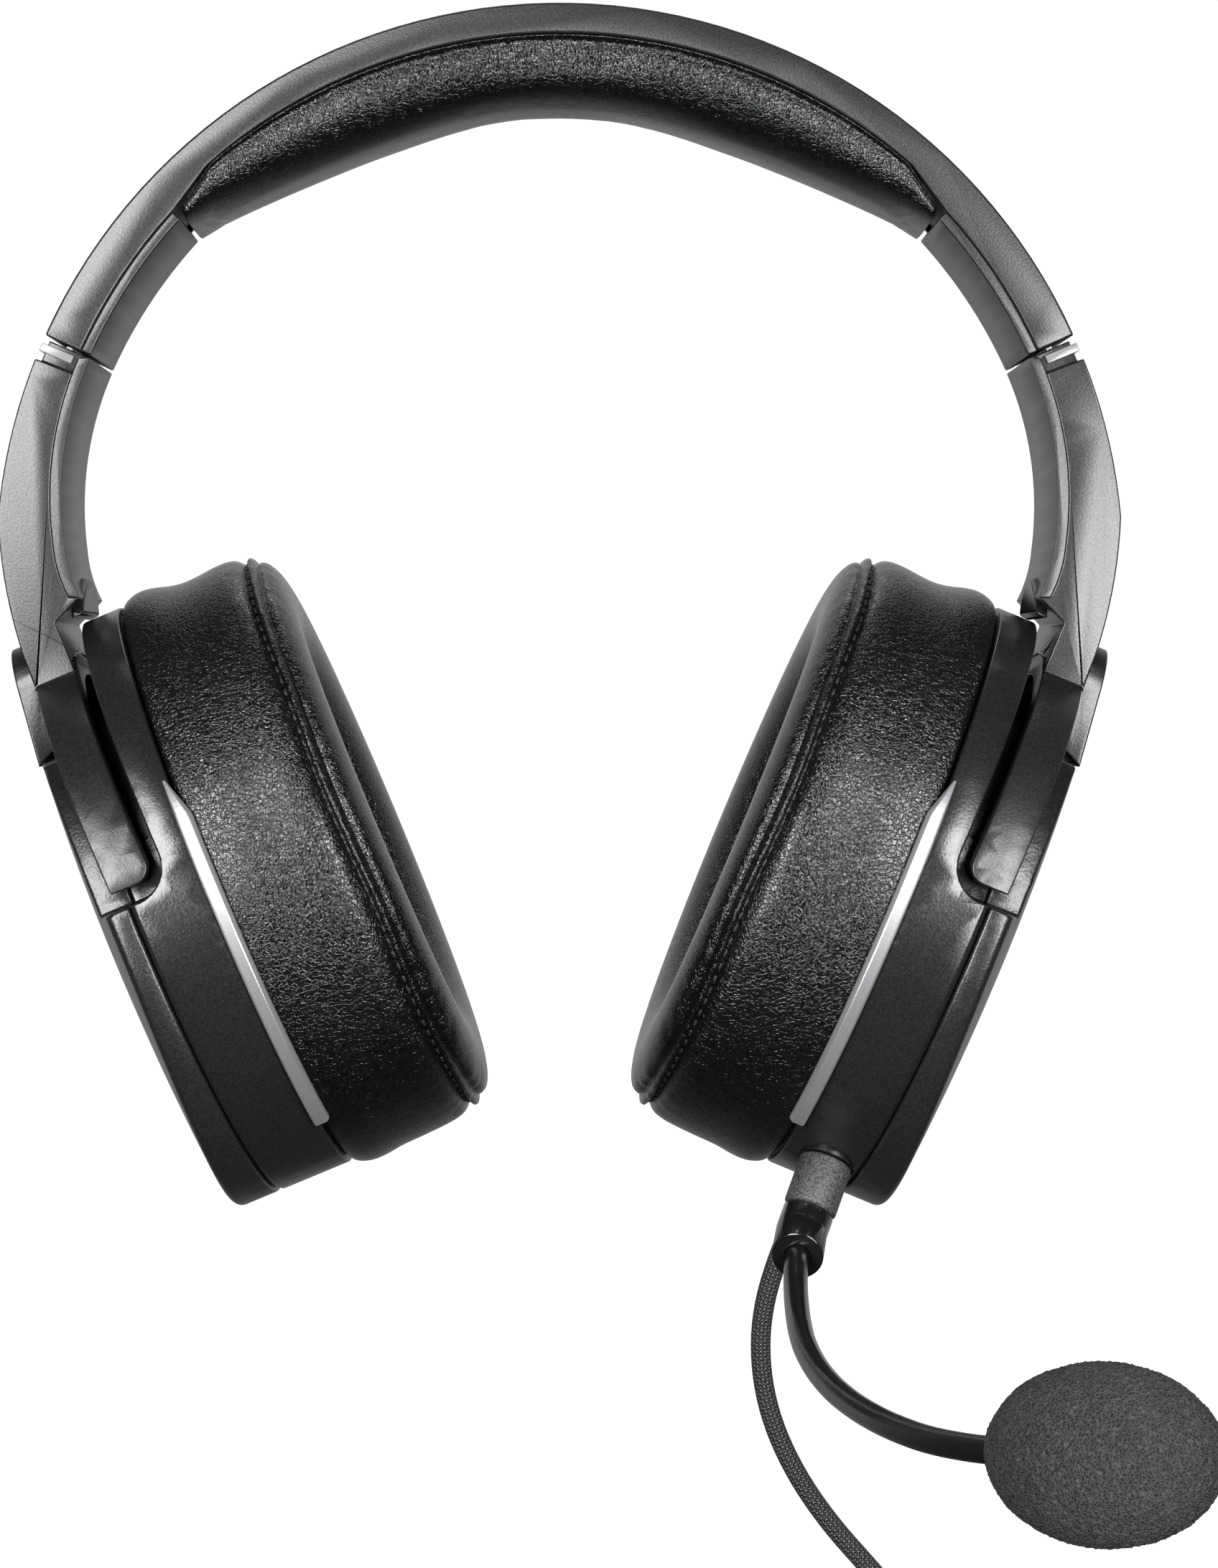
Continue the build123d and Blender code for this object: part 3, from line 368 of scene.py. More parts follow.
def turned(name, start, ahead, outline, sides=48):
    """A turned shape: an outline of distances along and radii, in millimetres, spun about a line."""
    ahead = ahead.normalized()
    across = ahead.orthogonal().normalized()
    other = ahead.cross(across)
    bm = bmesh.new()
    rings = []
    for along, radius in outline:
        centre = start + ahead * along * MM
        if radius <= 0:
            rings.append([bm.verts.new(centre)])
            continue
        turn = [2 * math.pi * k / sides for k in range(sides)]
        rings.append([bm.verts.new(centre + radius * MM * (math.cos(a) * across + math.sin(a) * other)) for a in turn])
    for one, two in zip(rings, rings[1:]):
        for k in range(sides):
            n = (k + 1) % sides
            corners = [one[k % len(one)], one[n % len(one)], two[n % len(two)], two[k % len(two)]]
            face = bm.faces.new(list(dict.fromkeys(corners)))
            face.smooth = True
    for ring_ in (rings[0], rings[-1]):
        if len(ring_) > 2:
            bm.faces.new(ring_)
    bmesh.ops.recalc_face_normals(bm, faces=bm.faces)
    mesh = bpy.data.meshes.new(name)
    bm.to_mesh(mesh)
    bm.free()
    return mesh


def flexing_rings(length, root, tip, pitch, depth):
    """The outline of a tapered sleeve with round grooves cut in it."""
    outline = [(0.0, 0.0), (0.0, root)]
    steps = int(length / pitch * 8)
    for n in range(steps + 1):
        along = 0.3 + (length - 0.6) * n / steps
        cut = depth * max(0.0, math.cos(2 * math.pi * along / pitch)) if along > 2.0 else 0.0
        outline.append((along, root + (tip - root) * along / length - cut))
    return outline + [(length, tip - 0.3), (length, 0.0)]


gland_rubber, tree, shader = new_material("strain_relief_rubber", (0.014, 0.014, 0.015), 0.42)
where = node(tree, "ShaderNodeTexCoord")
skin = node(tree, "ShaderNodeTexNoise", Scale=3500.0, Detail=2.0)
link(tree, where.outputs["Object"], skin.inputs["Vector"])
raise_bump(tree, shader, skin.outputs["Fac"], 0.00005, 0.6)
gland = add_piece("strain_relief", turned("strain_relief", in_cup(8.5, 0, -47.0), -CUP_UP,
                                          flexing_rings(13.0, 2.75, 2.35, 1.9, 0.45)), "cup_left",
                  gland_rubber)
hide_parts("cable_gland")

plug_start = Vector((CABLE_TAIL[-1][0], 0, CABLE_TAIL[-1][1])) * MM
plug_ahead = plug_start - Vector((CABLE_TAIL[-2][0], 0, CABLE_TAIL[-2][1])) * MM
gilt, tree, shader = new_material("gilt_contact", (0.83, 0.62, 0.27), 0.22, metallic=1.0)
where = node(tree, "ShaderNodeTexCoord")
along = node(tree, "ShaderNodeVectorMath", operation="DOT_PRODUCT")
along.inputs[1].default_value = plug_ahead.normalized()
link(tree, where.outputs["Object"], along.inputs[0])
turning = node(tree, "ShaderNodeTexNoise", Scale=9000.0, Detail=1.0)
link(tree, along.outputs["Value"], turning.inputs["Vector"])
raise_bump(tree, shader, turning.outputs["Fac"], 0.000006)
pin_outline = [(0, 0), (0, 1.45), (0.3, 1.45), (0.3, 1.75)]
for ring_at in (3.4, 6.2, 9.0):
    pin_outline += [(ring_at, 1.75), (ring_at + 0.05, 1.68), (ring_at + 0.75, 1.68), (ring_at + 0.8, 1.75)]
pin_outline += [(10.4, 1.75), (11.0, 1.32), (11.7, 1.5), (12.4, 1.68), (13.2, 1.2), (14.0, 0.5), (14.0, 0.0)]
plug_pin = add_piece("jack_pin", turned("jack_pin", plug_start + plug_ahead.normalized() * 22 * MM, plug_ahead,
                                        pin_outline, 40), "cup_left", gilt)
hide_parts("jack_plug_pin")
grip_outline = [(0, 0), (0, 2.4), (0.5, 2.7), (5.0, 2.9), (6.0, 3.3)]
for n in range(6):
    grip_outline += [(7.0 + n * 1.8, 3.45), (7.3 + n * 1.8, 3.15), (8.3 + n * 1.8, 3.15), (8.6 + n * 1.8, 3.45)]
grip_outline += [(18.4, 3.5), (21.3, 3.5), (22.0, 3.0), (22.0, 0.0)]
grip_plastic, tree, shader = new_material("plug_grip", (0.013, 0.013, 0.014), 0.3)
where = node(tree, "ShaderNodeTexCoord")
skin = node(tree, "ShaderNodeTexNoise", Scale=2500.0, Detail=2.0)
link(tree, where.outputs["Object"], skin.inputs["Vector"])
raise_bump(tree, shader, skin.outputs["Fac"], 0.00004, 0.5)
plug_grip = add_piece("jack_grip", turned("jack_grip", plug_start, plug_ahead, grip_outline, 40), "cup_left",
                      grip_plastic)
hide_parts("jack_plug_sleeve")

# ---- Headband ----
# Two mouldings: a channel-shaped shell of dark plastic with a fine spark-eroded skin, and satin black covers that
# close its ends from inside. Their edges are rounded as a mould leaves them.
EDGE_ANGLE = 32


def rounded(name, width, segments=3, angle=EDGE_ANGLE):
    """A moulded part's shape with its sharp edges rounded, as one mesh."""
    bm = bmesh.new()
    bm.from_mesh(nodes[name].data)
    bmesh.ops.remove_doubles(bm, verts=bm.verts, dist=1e-6)
    bmesh.ops.dissolve_limit(bm, angle_limit=math.radians(0.5), verts=bm.verts, edges=bm.edges)
    for face in bm.faces:
        face.smooth = True
    start = bpy.data.meshes.new(name + "_sharp")
    bm.to_mesh(start)
    bm.free()
    holder = bpy.data.objects.new(name + "_holder", start)
    scene.collection.objects.link(holder)
    bevel = holder.modifiers.new("edges", "BEVEL")
    bevel.width = width * MM
    bevel.segments = segments
    bevel.limit_method = "ANGLE"
    bevel.angle_limit = math.radians(angle)
    bevel.use_clamp_overlap = False
    bevel.harden_normals = True
    bevel.miter_outer = "MITER_ARC"
    mesh = bpy.data.meshes.new_from_object(holder.evaluated_get(bpy.context.evaluated_depsgraph_get()))
    bpy.data.objects.remove(holder)
    bpy.data.meshes.remove(start)
    return mesh


def moulding(name, material, width=0.4, segments=3, angle=EDGE_ANGLE):
    """A CAD part's rounded copy, which stands for it on its own body and in its own finish."""
    piece = add_piece(name + "_moulding", rounded(name, width, segments, angle), body_of[name],
                      material)
    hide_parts(name)
    return piece


def spark_skin(name, colour, rough, grain, depth, low=0.75, high=1.3):
    """Plastic with the fine random pits of a spark-eroded mould, with painted shade that darkens the pits and lighter
    rises.
    """
    material, tree, shader = new_material(name, colour, rough)
    where = node(tree, "ShaderNodeTexCoord")
    pits = node(tree, "ShaderNodeTexNoise", Scale=1 / (grain * MM), Detail=2.5, Roughness=0.6)
    link(tree, where.outputs["Object"], pits.inputs["Vector"])
    # Painted shade: the colour follows the bump's noise. It is darker where the pits sink and lighter on the rises.
    dark = tuple(c * low for c in colour)
    light = tuple(c * high for c in colour)
    pit_shade_tones = blend_colours(tree, pits.outputs["Fac"], dark, light, shader.inputs["Base Color"])
    pit_shade_tones.color_ramp.elements[0].position = 0.35
    pit_shade_tones.color_ramp.elements[1].position = 0.65
    sheen = node(tree, "ShaderNodeMapRange")
    sheen.inputs["To Min"].default_value = rough - 0.07
    sheen.inputs["To Max"].default_value = rough + 0.07
    link(tree, pits.outputs["Fac"], sheen.inputs["Value"])
    link(tree, sheen.outputs[0], shader.inputs["Roughness"])
    raise_bump(tree, shader, pits.outputs["Fac"], depth * MM)
    return material


shell_skin = spark_skin("shell_skin", (0.009, 0.009, 0.0095), 0.32, 0.42, 0.022)
inner_skin = spark_skin("inner_skin", (0.006, 0.006, 0.0065), 0.36, 0.5, 0.03)
moulding("headband_shell", shell_skin, 0.45)
for side in ("left", "right"):
    moulding(f"headband_inner_cover_{side}", inner_skin, 0.35)


def finish_node(name, material):
    """A CAD part that keeps its own shape and gets this finish."""
    nodes[name].data.materials.clear()
    nodes[name].data.materials.append(material)


finish_node("pad_carrier", inner_skin)

# ---- Slides ----
# Each arm hangs on a strip of brushed steel with a row of click holes, which runs in a plastic guide inside the
# headband's end under a bowed spring leaf. A long spring leaf gives the band its grip. Small screws hold it all.
def brushed(name, colour, rough, grain):
    """Metal that was drawn through a brush along its length."""
    material, tree, shader = new_material(name, colour, rough, metallic=1.0)
    where = node(tree, "ShaderNodeTexCoord")
    stretch = node(tree, "ShaderNodeMapping")
    stretch.inputs["Scale"].default_value = (60, grain, 60)
    link(tree, where.outputs["Object"], stretch.inputs["Vector"])
    lines = node(tree, "ShaderNodeTexNoise", Scale=60.0, Detail=3.0)
    link(tree, stretch.outputs[0], lines.inputs["Vector"])
    worn = node(tree, "ShaderNodeMapRange")
    worn.inputs["To Min"].default_value = rough - 0.08
    worn.inputs["To Max"].default_value = rough + 0.12
    link(tree, lines.outputs["Fac"], worn.inputs["Value"])
    link(tree, worn.outputs[0], shader.inputs["Roughness"])
    raise_bump(tree, shader, lines.outputs["Fac"], 0.000012)
    return material


slider_steel = brushed("slider_steel", (0.42, 0.42, 0.43), 0.32, 900)
spring_steel = brushed("spring_steel", (0.50, 0.50, 0.51), 0.25, 900)
screw_steel = brushed("screw_steel", (0.22, 0.22, 0.23), 0.35, 60)
finish_node("spring_band", spring_steel)
finish_node("headband_screws", screw_steel)
for side in ("left", "right"):
    finish_node(f"slider_guide_{side}", inner_skin)
    finish_node(f"detent_spring_{side}", spring_steel)
    finish_node(f"slider_strip_{side}", slider_steel)
    finish_node(f"arm_screws_{side}", screw_steel)
    finish_node(f"tilt_pins_{side}", screw_steel)
    finish_node(f"cup_screws_{side}", screw_steel)

# ---- Arms ----
# One moulding for each side: an arm that carries the band's line on, and a yoke that arches over the ear cup. A
# satin cover closes it from inside, a thin grey strip marks the joint, and a round cap covers the yoke's boss.
trim_bright, tree, shader = new_material("trim_bright", (0.16, 0.16, 0.16), 0.30)
where = node(tree, "ShaderNodeTexCoord")
cloud = node(tree, "ShaderNodeTexNoise", Scale=260.0, Detail=3.0)
link(tree, where.outputs["Object"], cloud.inputs["Vector"])
blend_colours(tree, cloud.outputs["Fac"], (0.13, 0.13, 0.13), (0.19, 0.19, 0.19), shader.inputs["Base Color"])
for side in ("left", "right"):
    moulding(f"arm_yoke_{side}", shell_skin, 0.3)
    moulding(f"arm_inner_cover_{side}", inner_skin, 0.12)
    moulding(f"arm_trim_band_{side}", trim_bright, 0.12, 2)
    moulding(f"arm_hub_cap_{side}", inner_skin, 0.5)

# ---- Ear cups ----
# Each cup is a deep oval housing with a channel for the yoke, and a slightly domed cover outside it, both dark
# spark-eroded plastic with rounded edges.
cup_skin = spark_skin("cup_skin", (0.009, 0.009, 0.0095), 0.25, 0.40, 0.028)
cover_skin = spark_skin("cover_skin", (0.010, 0.010, 0.0105), 0.30, 0.45, 0.045)
for side in ("left", "right"):
    moulding(f"cup_housing_{side}", cup_skin, 0.35)
    moulding(f"cup_cover_{side}", cover_skin, 0.5)

# ---- Accent bars ----
# A satin silver strip at the front and back of each cup, over the joint of the housing and the pad. It has a broad
# face and a narrow slanting one, and its upper end narrows to a point.
BAR_LOW, BAR_HIGH = -41.0, 20.6
BAR_POINT = 6.5
OVAL = (43.0, 52.0)
BAR_PROFILE = [(0.80, 0.05), (0.80, 0.85), (0.62, 1.12), (0.35, 1.22), (-1.15, 1.22), (-1.33, 1.17), (-1.85, 0.72),
               (-2.0, 0.40), (-2.0, 0.05)]


def mirrored(mesh, name):
    """The same shape for the wearer's right."""
    other = mesh.copy()
    other.name = name
    other.transform(Matrix.Scale(-1, 4, Vector((1, 0, 0))))
    other.flip_normals()
    return other


def bar_mesh(name, side):
    bm = bmesh.new()
    rings = []
    stations = 60
    for n in range(stations + 1):
        up = BAR_LOW + (BAR_HIGH - BAR_LOW) * n / stations
        depth = OVAL[0] * math.sqrt(1 - (up / OVAL[1]) ** 2)
        normal = Vector((0, side * depth / OVAL[0] ** 2, up / OVAL[1] ** 2)).normalized()
        near_end = max(0.0, up - (BAR_HIGH - BAR_POINT)) / BAR_POINT
        narrow, thin = 1 - 0.82 * near_end, 1 - 0.75 * near_end ** 1.5
        ring = []
        for out, high in BAR_PROFILE:
            w = 0.80 + (out - 0.80) * narrow
            h = 0.05 + (high - 0.05) * thin
            ring.append(bm.verts.new(in_cup(w, side * depth + normal.y * h, up + normal.z * h)))
        rings.append(ring)
    count = len(BAR_PROFILE)
    for one, two in zip(rings, rings[1:]):
        for k in range(count):
            bm.faces.new((one[k], one[(k + 1) % count], two[(k + 1) % count], two[k]))
    bm.faces.new(rings[0])
    bm.faces.new(rings[-1])
    bmesh.ops.recalc_face_normals(bm, faces=bm.faces)
    mesh = bpy.data.meshes.new(name)
    bm.to_mesh(mesh)
    bm.free()
    return mesh


accent, tree, shader = new_material("accent_silver", (0.42, 0.42, 0.43), 0.34, metallic=0.75)
where = node(tree, "ShaderNodeTexCoord")
flake = node(tree, "ShaderNodeTexNoise", Scale=3200.0, Detail=2.0)
link(tree, where.outputs["Object"], flake.inputs["Vector"])
blend_colours(tree, flake.outputs["Fac"], (0.34, 0.34, 0.35), (0.46, 0.46, 0.47), shader.inputs["Base Color"])
raise_bump(tree, shader, flake.outputs["Fac"], 0.000025, 0.6)
bm = bmesh.new()
for side in (-1, 1):
    one = bar_mesh("accent_bar", side)
    bm.from_mesh(one)
    bpy.data.meshes.remove(one)
bars_left = bpy.data.meshes.new("accent_bars")
bm.to_mesh(bars_left)
bm.free()
bars_right = mirrored(bars_left, "accent_bars_right")
for side, mesh in (("left", bars_left), ("right", bars_right)):
    piece = add_piece(f"accent_strips_{side}", mesh, f"cup_{side}", accent)
    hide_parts(f"accent_bars_{side}")

# ---- Ear pads ----
# Thick leatherette rings filled with foam. A side panel and a rolled inner panel meet in a welt, sewn with small
# stitches in the valley beside it, and the leather puckers where it is drawn in to the seam.
PAD_PROFILE = [
    (-0.3, 20.5), (-0.3, 12.0), (-0.3, 3.2), (-0.45, 1.3), (-1.2, 0.50), (-2.6, 0.25), (-5.0, 0.10), (-9.0, 0.15),
    (-13.5, 0.10), (-17.5, -0.05), (-20.3, 0.0), (-21.7, 0.45), (-22.5, 1.2), (-22.9, 1.75), (-23.15, 1.7),
    (-23.4, 1.0), (-23.75, 0.65), (-24.15, 0.75), (-24.5, 1.25), (-24.75, 1.9), (-24.95, 2.25), (-25.2, 2.2),
    (-25.8, 2.3), (-26.6, 3.0), (-27.5, 4.9), (-28.05, 7.4), (-28.3, 10.0), (-28.0, 14.0), (-26.6, 17.6),
    (-24.0, 20.3), (-20.0, 21.7), (-14.0, 22.1), (-7.0, 22.1), (-1.6, 21.9),
]
PAD_SEAM = 23.65
PAD_AROUND = 224


def smooth_loop(points, steps):
    """A closed smooth line through points, with some steps between each pair."""
    line = []
    count = len(points)
    for n in range(count):
        a, b, c, d = (Vector(points[(n + k) % count]) for k in (-1, 0, 1, 2))
        for k in range(steps):
            t = k / steps
            line.append(0.5 * (2 * b + (c - a) * t + (2 * a - 5 * b + 4 * c - d) * t * t
                               + (3 * b - a - 3 * c + d) * t ** 3))
    return line


def pad_swell(out, angle):
    """How far the side panel stands outside the oval, which is more at the cup's top and bottom."""
    ends = abs(math.sin(angle)) ** 6
    side = max(0.0, min(1.0, (-out - 4.6) / 2.5))
    hem = max(0.0, min(1.0, (22.5 + out) / 4.0))
    low = math.exp(-((-out - 4.0) / 4.0) ** 2) * 1.5 * ends
    waist = -0.5 * math.exp(-((-out - 12.0) / 5.0) ** 2) * ends * (1 if math.sin(angle) > 0 else -1.2)
    return (low + waist + 0.35 * side) * hem if out > -22.5 else 0.0


def pucker(out, angle, inset):
    """Folds that run away from the seam, in millimetres."""
    beyond = abs(-out - PAD_SEAM)
    around = angle * 47.5
    fold = noise.noise(Vector((around * 0.42, beyond * 0.10, 3.0)))
    fine = noise.noise(Vector((around * 0.95, beyond * 0.22, 9.0)))
    strength = math.exp(-beyond / 2.6) if inset < 8 else 0.0
    roll = 0.5 * math.exp(-((-out - 26.2) / 1.6) ** 2) if inset < 8 else 0.0
    return (0.42 * fold + 0.25 * fine) * (strength + roll)


def pad_mesh(name):
    section = smooth_loop(PAD_PROFILE, 2)
    bm = bmesh.new()
    rings = []
    for k in range(PAD_AROUND):
        angle = 2 * math.pi * k / PAD_AROUND
        drift = 0.35 * noise.noise(Vector((math.cos(angle) * 2.2, math.sin(angle) * 2.2, 1.0)))
        ring = []
        for w, d in section:
            near_seam = math.exp(-((-w - PAD_SEAM) / 3.0) ** 2) if d < 8 else 0.0
            out = w + drift * near_seam * 1.6
            inset = d - pad_swell(w, angle) - pucker(w, angle, d)
            radius = (OVAL[0] - inset, OVAL[1] - inset)
            ring.append(bm.verts.new(in_cup(out, radius[0] * math.cos(angle), radius[1] * math.sin(angle))))
        rings.append(ring)
    for k in range(PAD_AROUND):
        one, two = rings[k], rings[(k + 1) % PAD_AROUND]
        for n in range(len(section)):
            m = (n + 1) % len(section)
            face = bm.faces.new((one[n], one[m], two[m], two[n]))
            face.smooth = True
    bmesh.ops.recalc_face_normals(bm, faces=bm.faces)
    mesh = bpy.data.meshes.new(name)
    bm.to_mesh(mesh)
    bm.free()
    held = [k * len(section) + n for k in range(PAD_AROUND) for n, (w, d) in enumerate(section)
            if w > -1.0 or (d < 8 and -25.2 < w < -21.4)]
    return mesh, held


def inflate(mesh, held, pressure, cap, frames=20):
    """Blows a sewn cover up against its held seams, as its filling does, by no more than a cap in millimetres."""
    holder = bpy.data.objects.new("cover", mesh.copy())
    scene.collection.objects.link(holder)
    group = holder.vertex_groups.new(name="held")
    group.add(held, 1.0, "REPLACE")
    cloth = holder.modifiers.new("cloth", "CLOTH")
    cloth.settings.vertex_group_mass = "held"
    cloth.settings.quality = 6
    cloth.settings.mass = 0.02
    cloth.settings.tension_stiffness = 20
    cloth.settings.compression_stiffness = 8
    cloth.settings.bending_stiffness = 0.05
    cloth.settings.use_pressure = True
    cloth.settings.uniform_pressure_force = pressure
    cloth.settings.effector_weights.gravity = 0
    for frame_number in range(1, frames + 1):
        scene.frame_set(frame_number)
    blown = bpy.data.meshes.new_from_object(holder.evaluated_get(bpy.context.evaluated_depsgraph_get()))
    for before, after in zip(mesh.vertices, blown.vertices):
        move = after.co - before.co
        if move.length > cap * MM:
            move *= cap * MM / move.length
        before.co = before.co + move
    scene.frame_set(1)
    bpy.data.objects.remove(holder)
    bpy.data.meshes.remove(blown)


def subdivided(mesh, levels=1):
    holder = bpy.data.objects.new("holder", mesh)
    scene.collection.objects.link(holder)
    finer = holder.modifiers.new("finer", "SUBSURF")
    finer.levels = finer.render_levels = levels
    fine = bpy.data.meshes.new_from_object(holder.evaluated_get(bpy.context.evaluated_depsgraph_get()))
    bpy.data.objects.remove(holder)
    for face in fine.polygons:
        face.use_smooth = True
    return fine


def leatherette(name, colour, rough, cell, depth):
    """Coated cloth with a pressed grain: small raised cells of uneven size between fine creases, which carry painted
    shade.
    """
    material, tree, shader = new_material(name, colour, rough, specular_ior_level=0.5)
    where = node(tree, "ShaderNodeTexCoord")
    wander = node(tree, "ShaderNodeTexNoise", Scale=0.55 / (cell * MM), Detail=2.0)
    link(tree, where.outputs["Object"], wander.inputs["Vector"])
    shift = node(tree, "ShaderNodeVectorMath", operation="MULTIPLY_ADD")
    shift.inputs[1].default_value = (cell * MM * 1.1,) * 3
    link(tree, wander.outputs["Color"], shift.inputs[0])
    link(tree, where.outputs["Object"], shift.inputs[2])
    cells = node(tree, "ShaderNodeTexVoronoi", feature="DISTANCE_TO_EDGE", Scale=1 / (cell * MM))
    small = node(tree, "ShaderNodeTexVoronoi", feature="DISTANCE_TO_EDGE", Scale=1.9 / (cell * MM))
    for pattern in (cells, small):
        link(tree, shift.outputs[0], pattern.inputs["Vector"])
    raised = node(tree, "ShaderNodeMapRange", interpolation_type="SMOOTHSTEP")
    raised.inputs["From Max"].default_value = 0.16
    link(tree, cells.outputs["Distance"], raised.inputs["Value"])
    fine = node(tree, "ShaderNodeMapRange", interpolation_type="SMOOTHSTEP")
    fine.inputs["From Max"].default_value = 0.20
    fine.inputs["To Max"].default_value = 0.45
    link(tree, small.outputs["Distance"], fine.inputs["Value"])
    total = node(tree, "ShaderNodeMath", operation="ADD")
    link(tree, raised.outputs[0], total.inputs[0])
    link(tree, fine.outputs[0], total.inputs[1])
    # Painted shade: the creases between the cells are painted darker, down to 0.4 of the cells' colour.
    blend_colours(tree, raised.outputs[0], tuple(c * 0.4 for c in colour), colour, shader.inputs["Base Color"])
    raise_bump(tree, shader, total.outputs[0], depth * MM)
    return material


pad_leather = leatherette("pad_leatherette", (0.0035, 0.0035, 0.0038), 0.21, 0.85, 0.05)
pad_left, held = pad_mesh("ear_pad_cover")
inflate(pad_left, held, 4.0, 0.5)
pad_left = subdivided(pad_left)
thread, tree, shader = new_material("pad_thread", (0.02, 0.02, 0.021), 0.4)
where = node(tree, "ShaderNodeTexCoord")
twist = node(tree, "ShaderNodeTexWave", Scale=1500.0)
link(tree, where.outputs["Object"], twist.inputs["Vector"])
raise_bump(tree, shader, twist.outputs["Color"], 0.00006)


def stitch_tree(material):
    """Stitches laid end to end along a line, with a gap between each."""
    tree = bpy.data.node_groups.new("stitches", "GeometryNodeTree")
    tree.interface.new_socket("Geometry", in_out="INPUT", socket_type="NodeSocketGeometry")
    for label in ("Pitch", "Length", "Radius"):
        tree.interface.new_socket(label, in_out="INPUT", socket_type="NodeSocketFloat")
    tree.interface.new_socket("Geometry", in_out="OUTPUT", socket_type="NodeSocketGeometry")
    given, made = tree.nodes.new("NodeGroupInput"), tree.nodes.new("NodeGroupOutput")
    line = tree.nodes.new("GeometryNodeMeshToCurve")
    spaced = tree.nodes.new("GeometryNodeResampleCurve")
    spaced.mode = "LENGTH"
    tangent = tree.nodes.new("GeometryNodeInputTangent")
    turn = tree.nodes.new("FunctionNodeAlignRotationToVector")
    turn.axis = "Z"
    stitch = tree.nodes.new("GeometryNodeMeshUVSphere")
    stitch.inputs["Segments"].default_value = 8
    stitch.inputs["Rings"].default_value = 6
    stretch = tree.nodes.new("GeometryNodeTransform")
    half = tree.nodes.new("ShaderNodeMath")
    half.operation = "DIVIDE"
    size = tree.nodes.new("ShaderNodeCombineXYZ")
    size.inputs[0].default_value = size.inputs[1].default_value = 1.0
    place = tree.nodes.new("GeometryNodeInstanceOnPoints")
    real = tree.nodes.new("GeometryNodeRealizeInstances")
    finish = tree.nodes.new("GeometryNodeSetMaterial")
    finish.inputs["Material"].default_value = material
    link(tree, given.outputs["Geometry"], line.inputs["Mesh"])
    link(tree, line.outputs[0], spaced.inputs["Curve"])
    link(tree, given.outputs["Pitch"], spaced.inputs["Length"])
    link(tree, spaced.outputs[0], place.inputs["Points"])
    link(tree, given.outputs["Radius"], stitch.inputs["Radius"])
    link(tree, given.outputs["Length"], half.inputs[0])
    doubled = tree.nodes.new("ShaderNodeMath")
    doubled.operation = "MULTIPLY"
    doubled.inputs[1].default_value = 2.0
    link(tree, given.outputs["Radius"], doubled.inputs[0])
    link(tree, doubled.outputs[0], half.inputs[1])
    link(tree, half.outputs[0], size.inputs[2])
    link(tree, stitch.outputs[0], stretch.inputs["Geometry"])
    link(tree, size.outputs[0], stretch.inputs["Scale"])
    link(tree, stretch.outputs[0], place.inputs["Instance"])
    link(tree, tangent.outputs[0], turn.inputs["Vector"])
    link(tree, turn.outputs[0], place.inputs["Rotation"])
    link(tree, place.outputs[0], real.inputs[0])
    link(tree, real.outputs[0], finish.inputs["Geometry"])
    link(tree, finish.outputs[0], made.inputs[0])
    return tree


def stitches(points, closed, pitch, length, radius, material):
    """Stitches along a row of points, as one mesh."""
    mesh = bpy.data.meshes.new("stitch_line")
    edges = [(k, k + 1) for k in range(len(points) - 1)] + ([(len(points) - 1, 0)] if closed else [])
    mesh.from_pydata(points, edges, [])
    holder = bpy.data.objects.new("stitch_holder", mesh)
    scene.collection.objects.link(holder)
    sewn = holder.modifiers.new("sewn", "NODES")
    sewn.node_group = stitch_tree(material)
    for item in sewn.node_group.interface.items_tree:
        if item.in_out == "INPUT" and item.name in ("Pitch", "Length", "Radius"):
            sewn[item.identifier] = {"Pitch": pitch, "Length": length, "Radius": radius}[item.name] * MM
    made = bpy.data.meshes.new_from_object(holder.evaluated_get(bpy.context.evaluated_depsgraph_get()))
    bpy.data.objects.remove(holder)
    for face in made.polygons:
        face.use_smooth = True
    return made


seam_line = []
for k in range(PAD_AROUND):
    angle = 2 * math.pi * k / PAD_AROUND
    drift = 0.35 * noise.noise(Vector((math.cos(angle) * 2.2, math.sin(angle) * 2.2, 1.0))) * 1.3
    seam_line.append(in_cup(-23.0 + drift, (OVAL[0] - 1.65) * math.cos(angle), (OVAL[1] - 1.65) * math.sin(angle)))
STITCH_PITCH, STITCH_LONG, STITCH_R = 2.4, 1.5, 0.26
stitches_left = stitches(seam_line, True, STITCH_PITCH, STITCH_LONG, STITCH_R, thread)
for side, mesh, sewing in (("left", pad_left, stitches_left),
                           ("right", mirrored(pad_left, "pad_right"), mirrored(stitches_left, "stitches_right"))):
    cover = add_piece(f"ear_pad_cover_{side}", mesh, f"cup_{side}", pad_leather)
    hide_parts(f"ear_pad_{side}")
    add_piece(f"ear_pad_stitches_{side}", sewing, f"cup_{side}", thread)

# ---- Speakers ----
# Behind each pad's opening a black mesh cloth is stretched over a plastic plate with a spoked grille. The speaker is
# behind it: a flat film disc with its coil's ring, a moulded frame, and a plated magnet.
CLOTH_HALF = (20.7, 29.7)
CLOTH_AROUND, CLOTH_RINGS = 96, 14


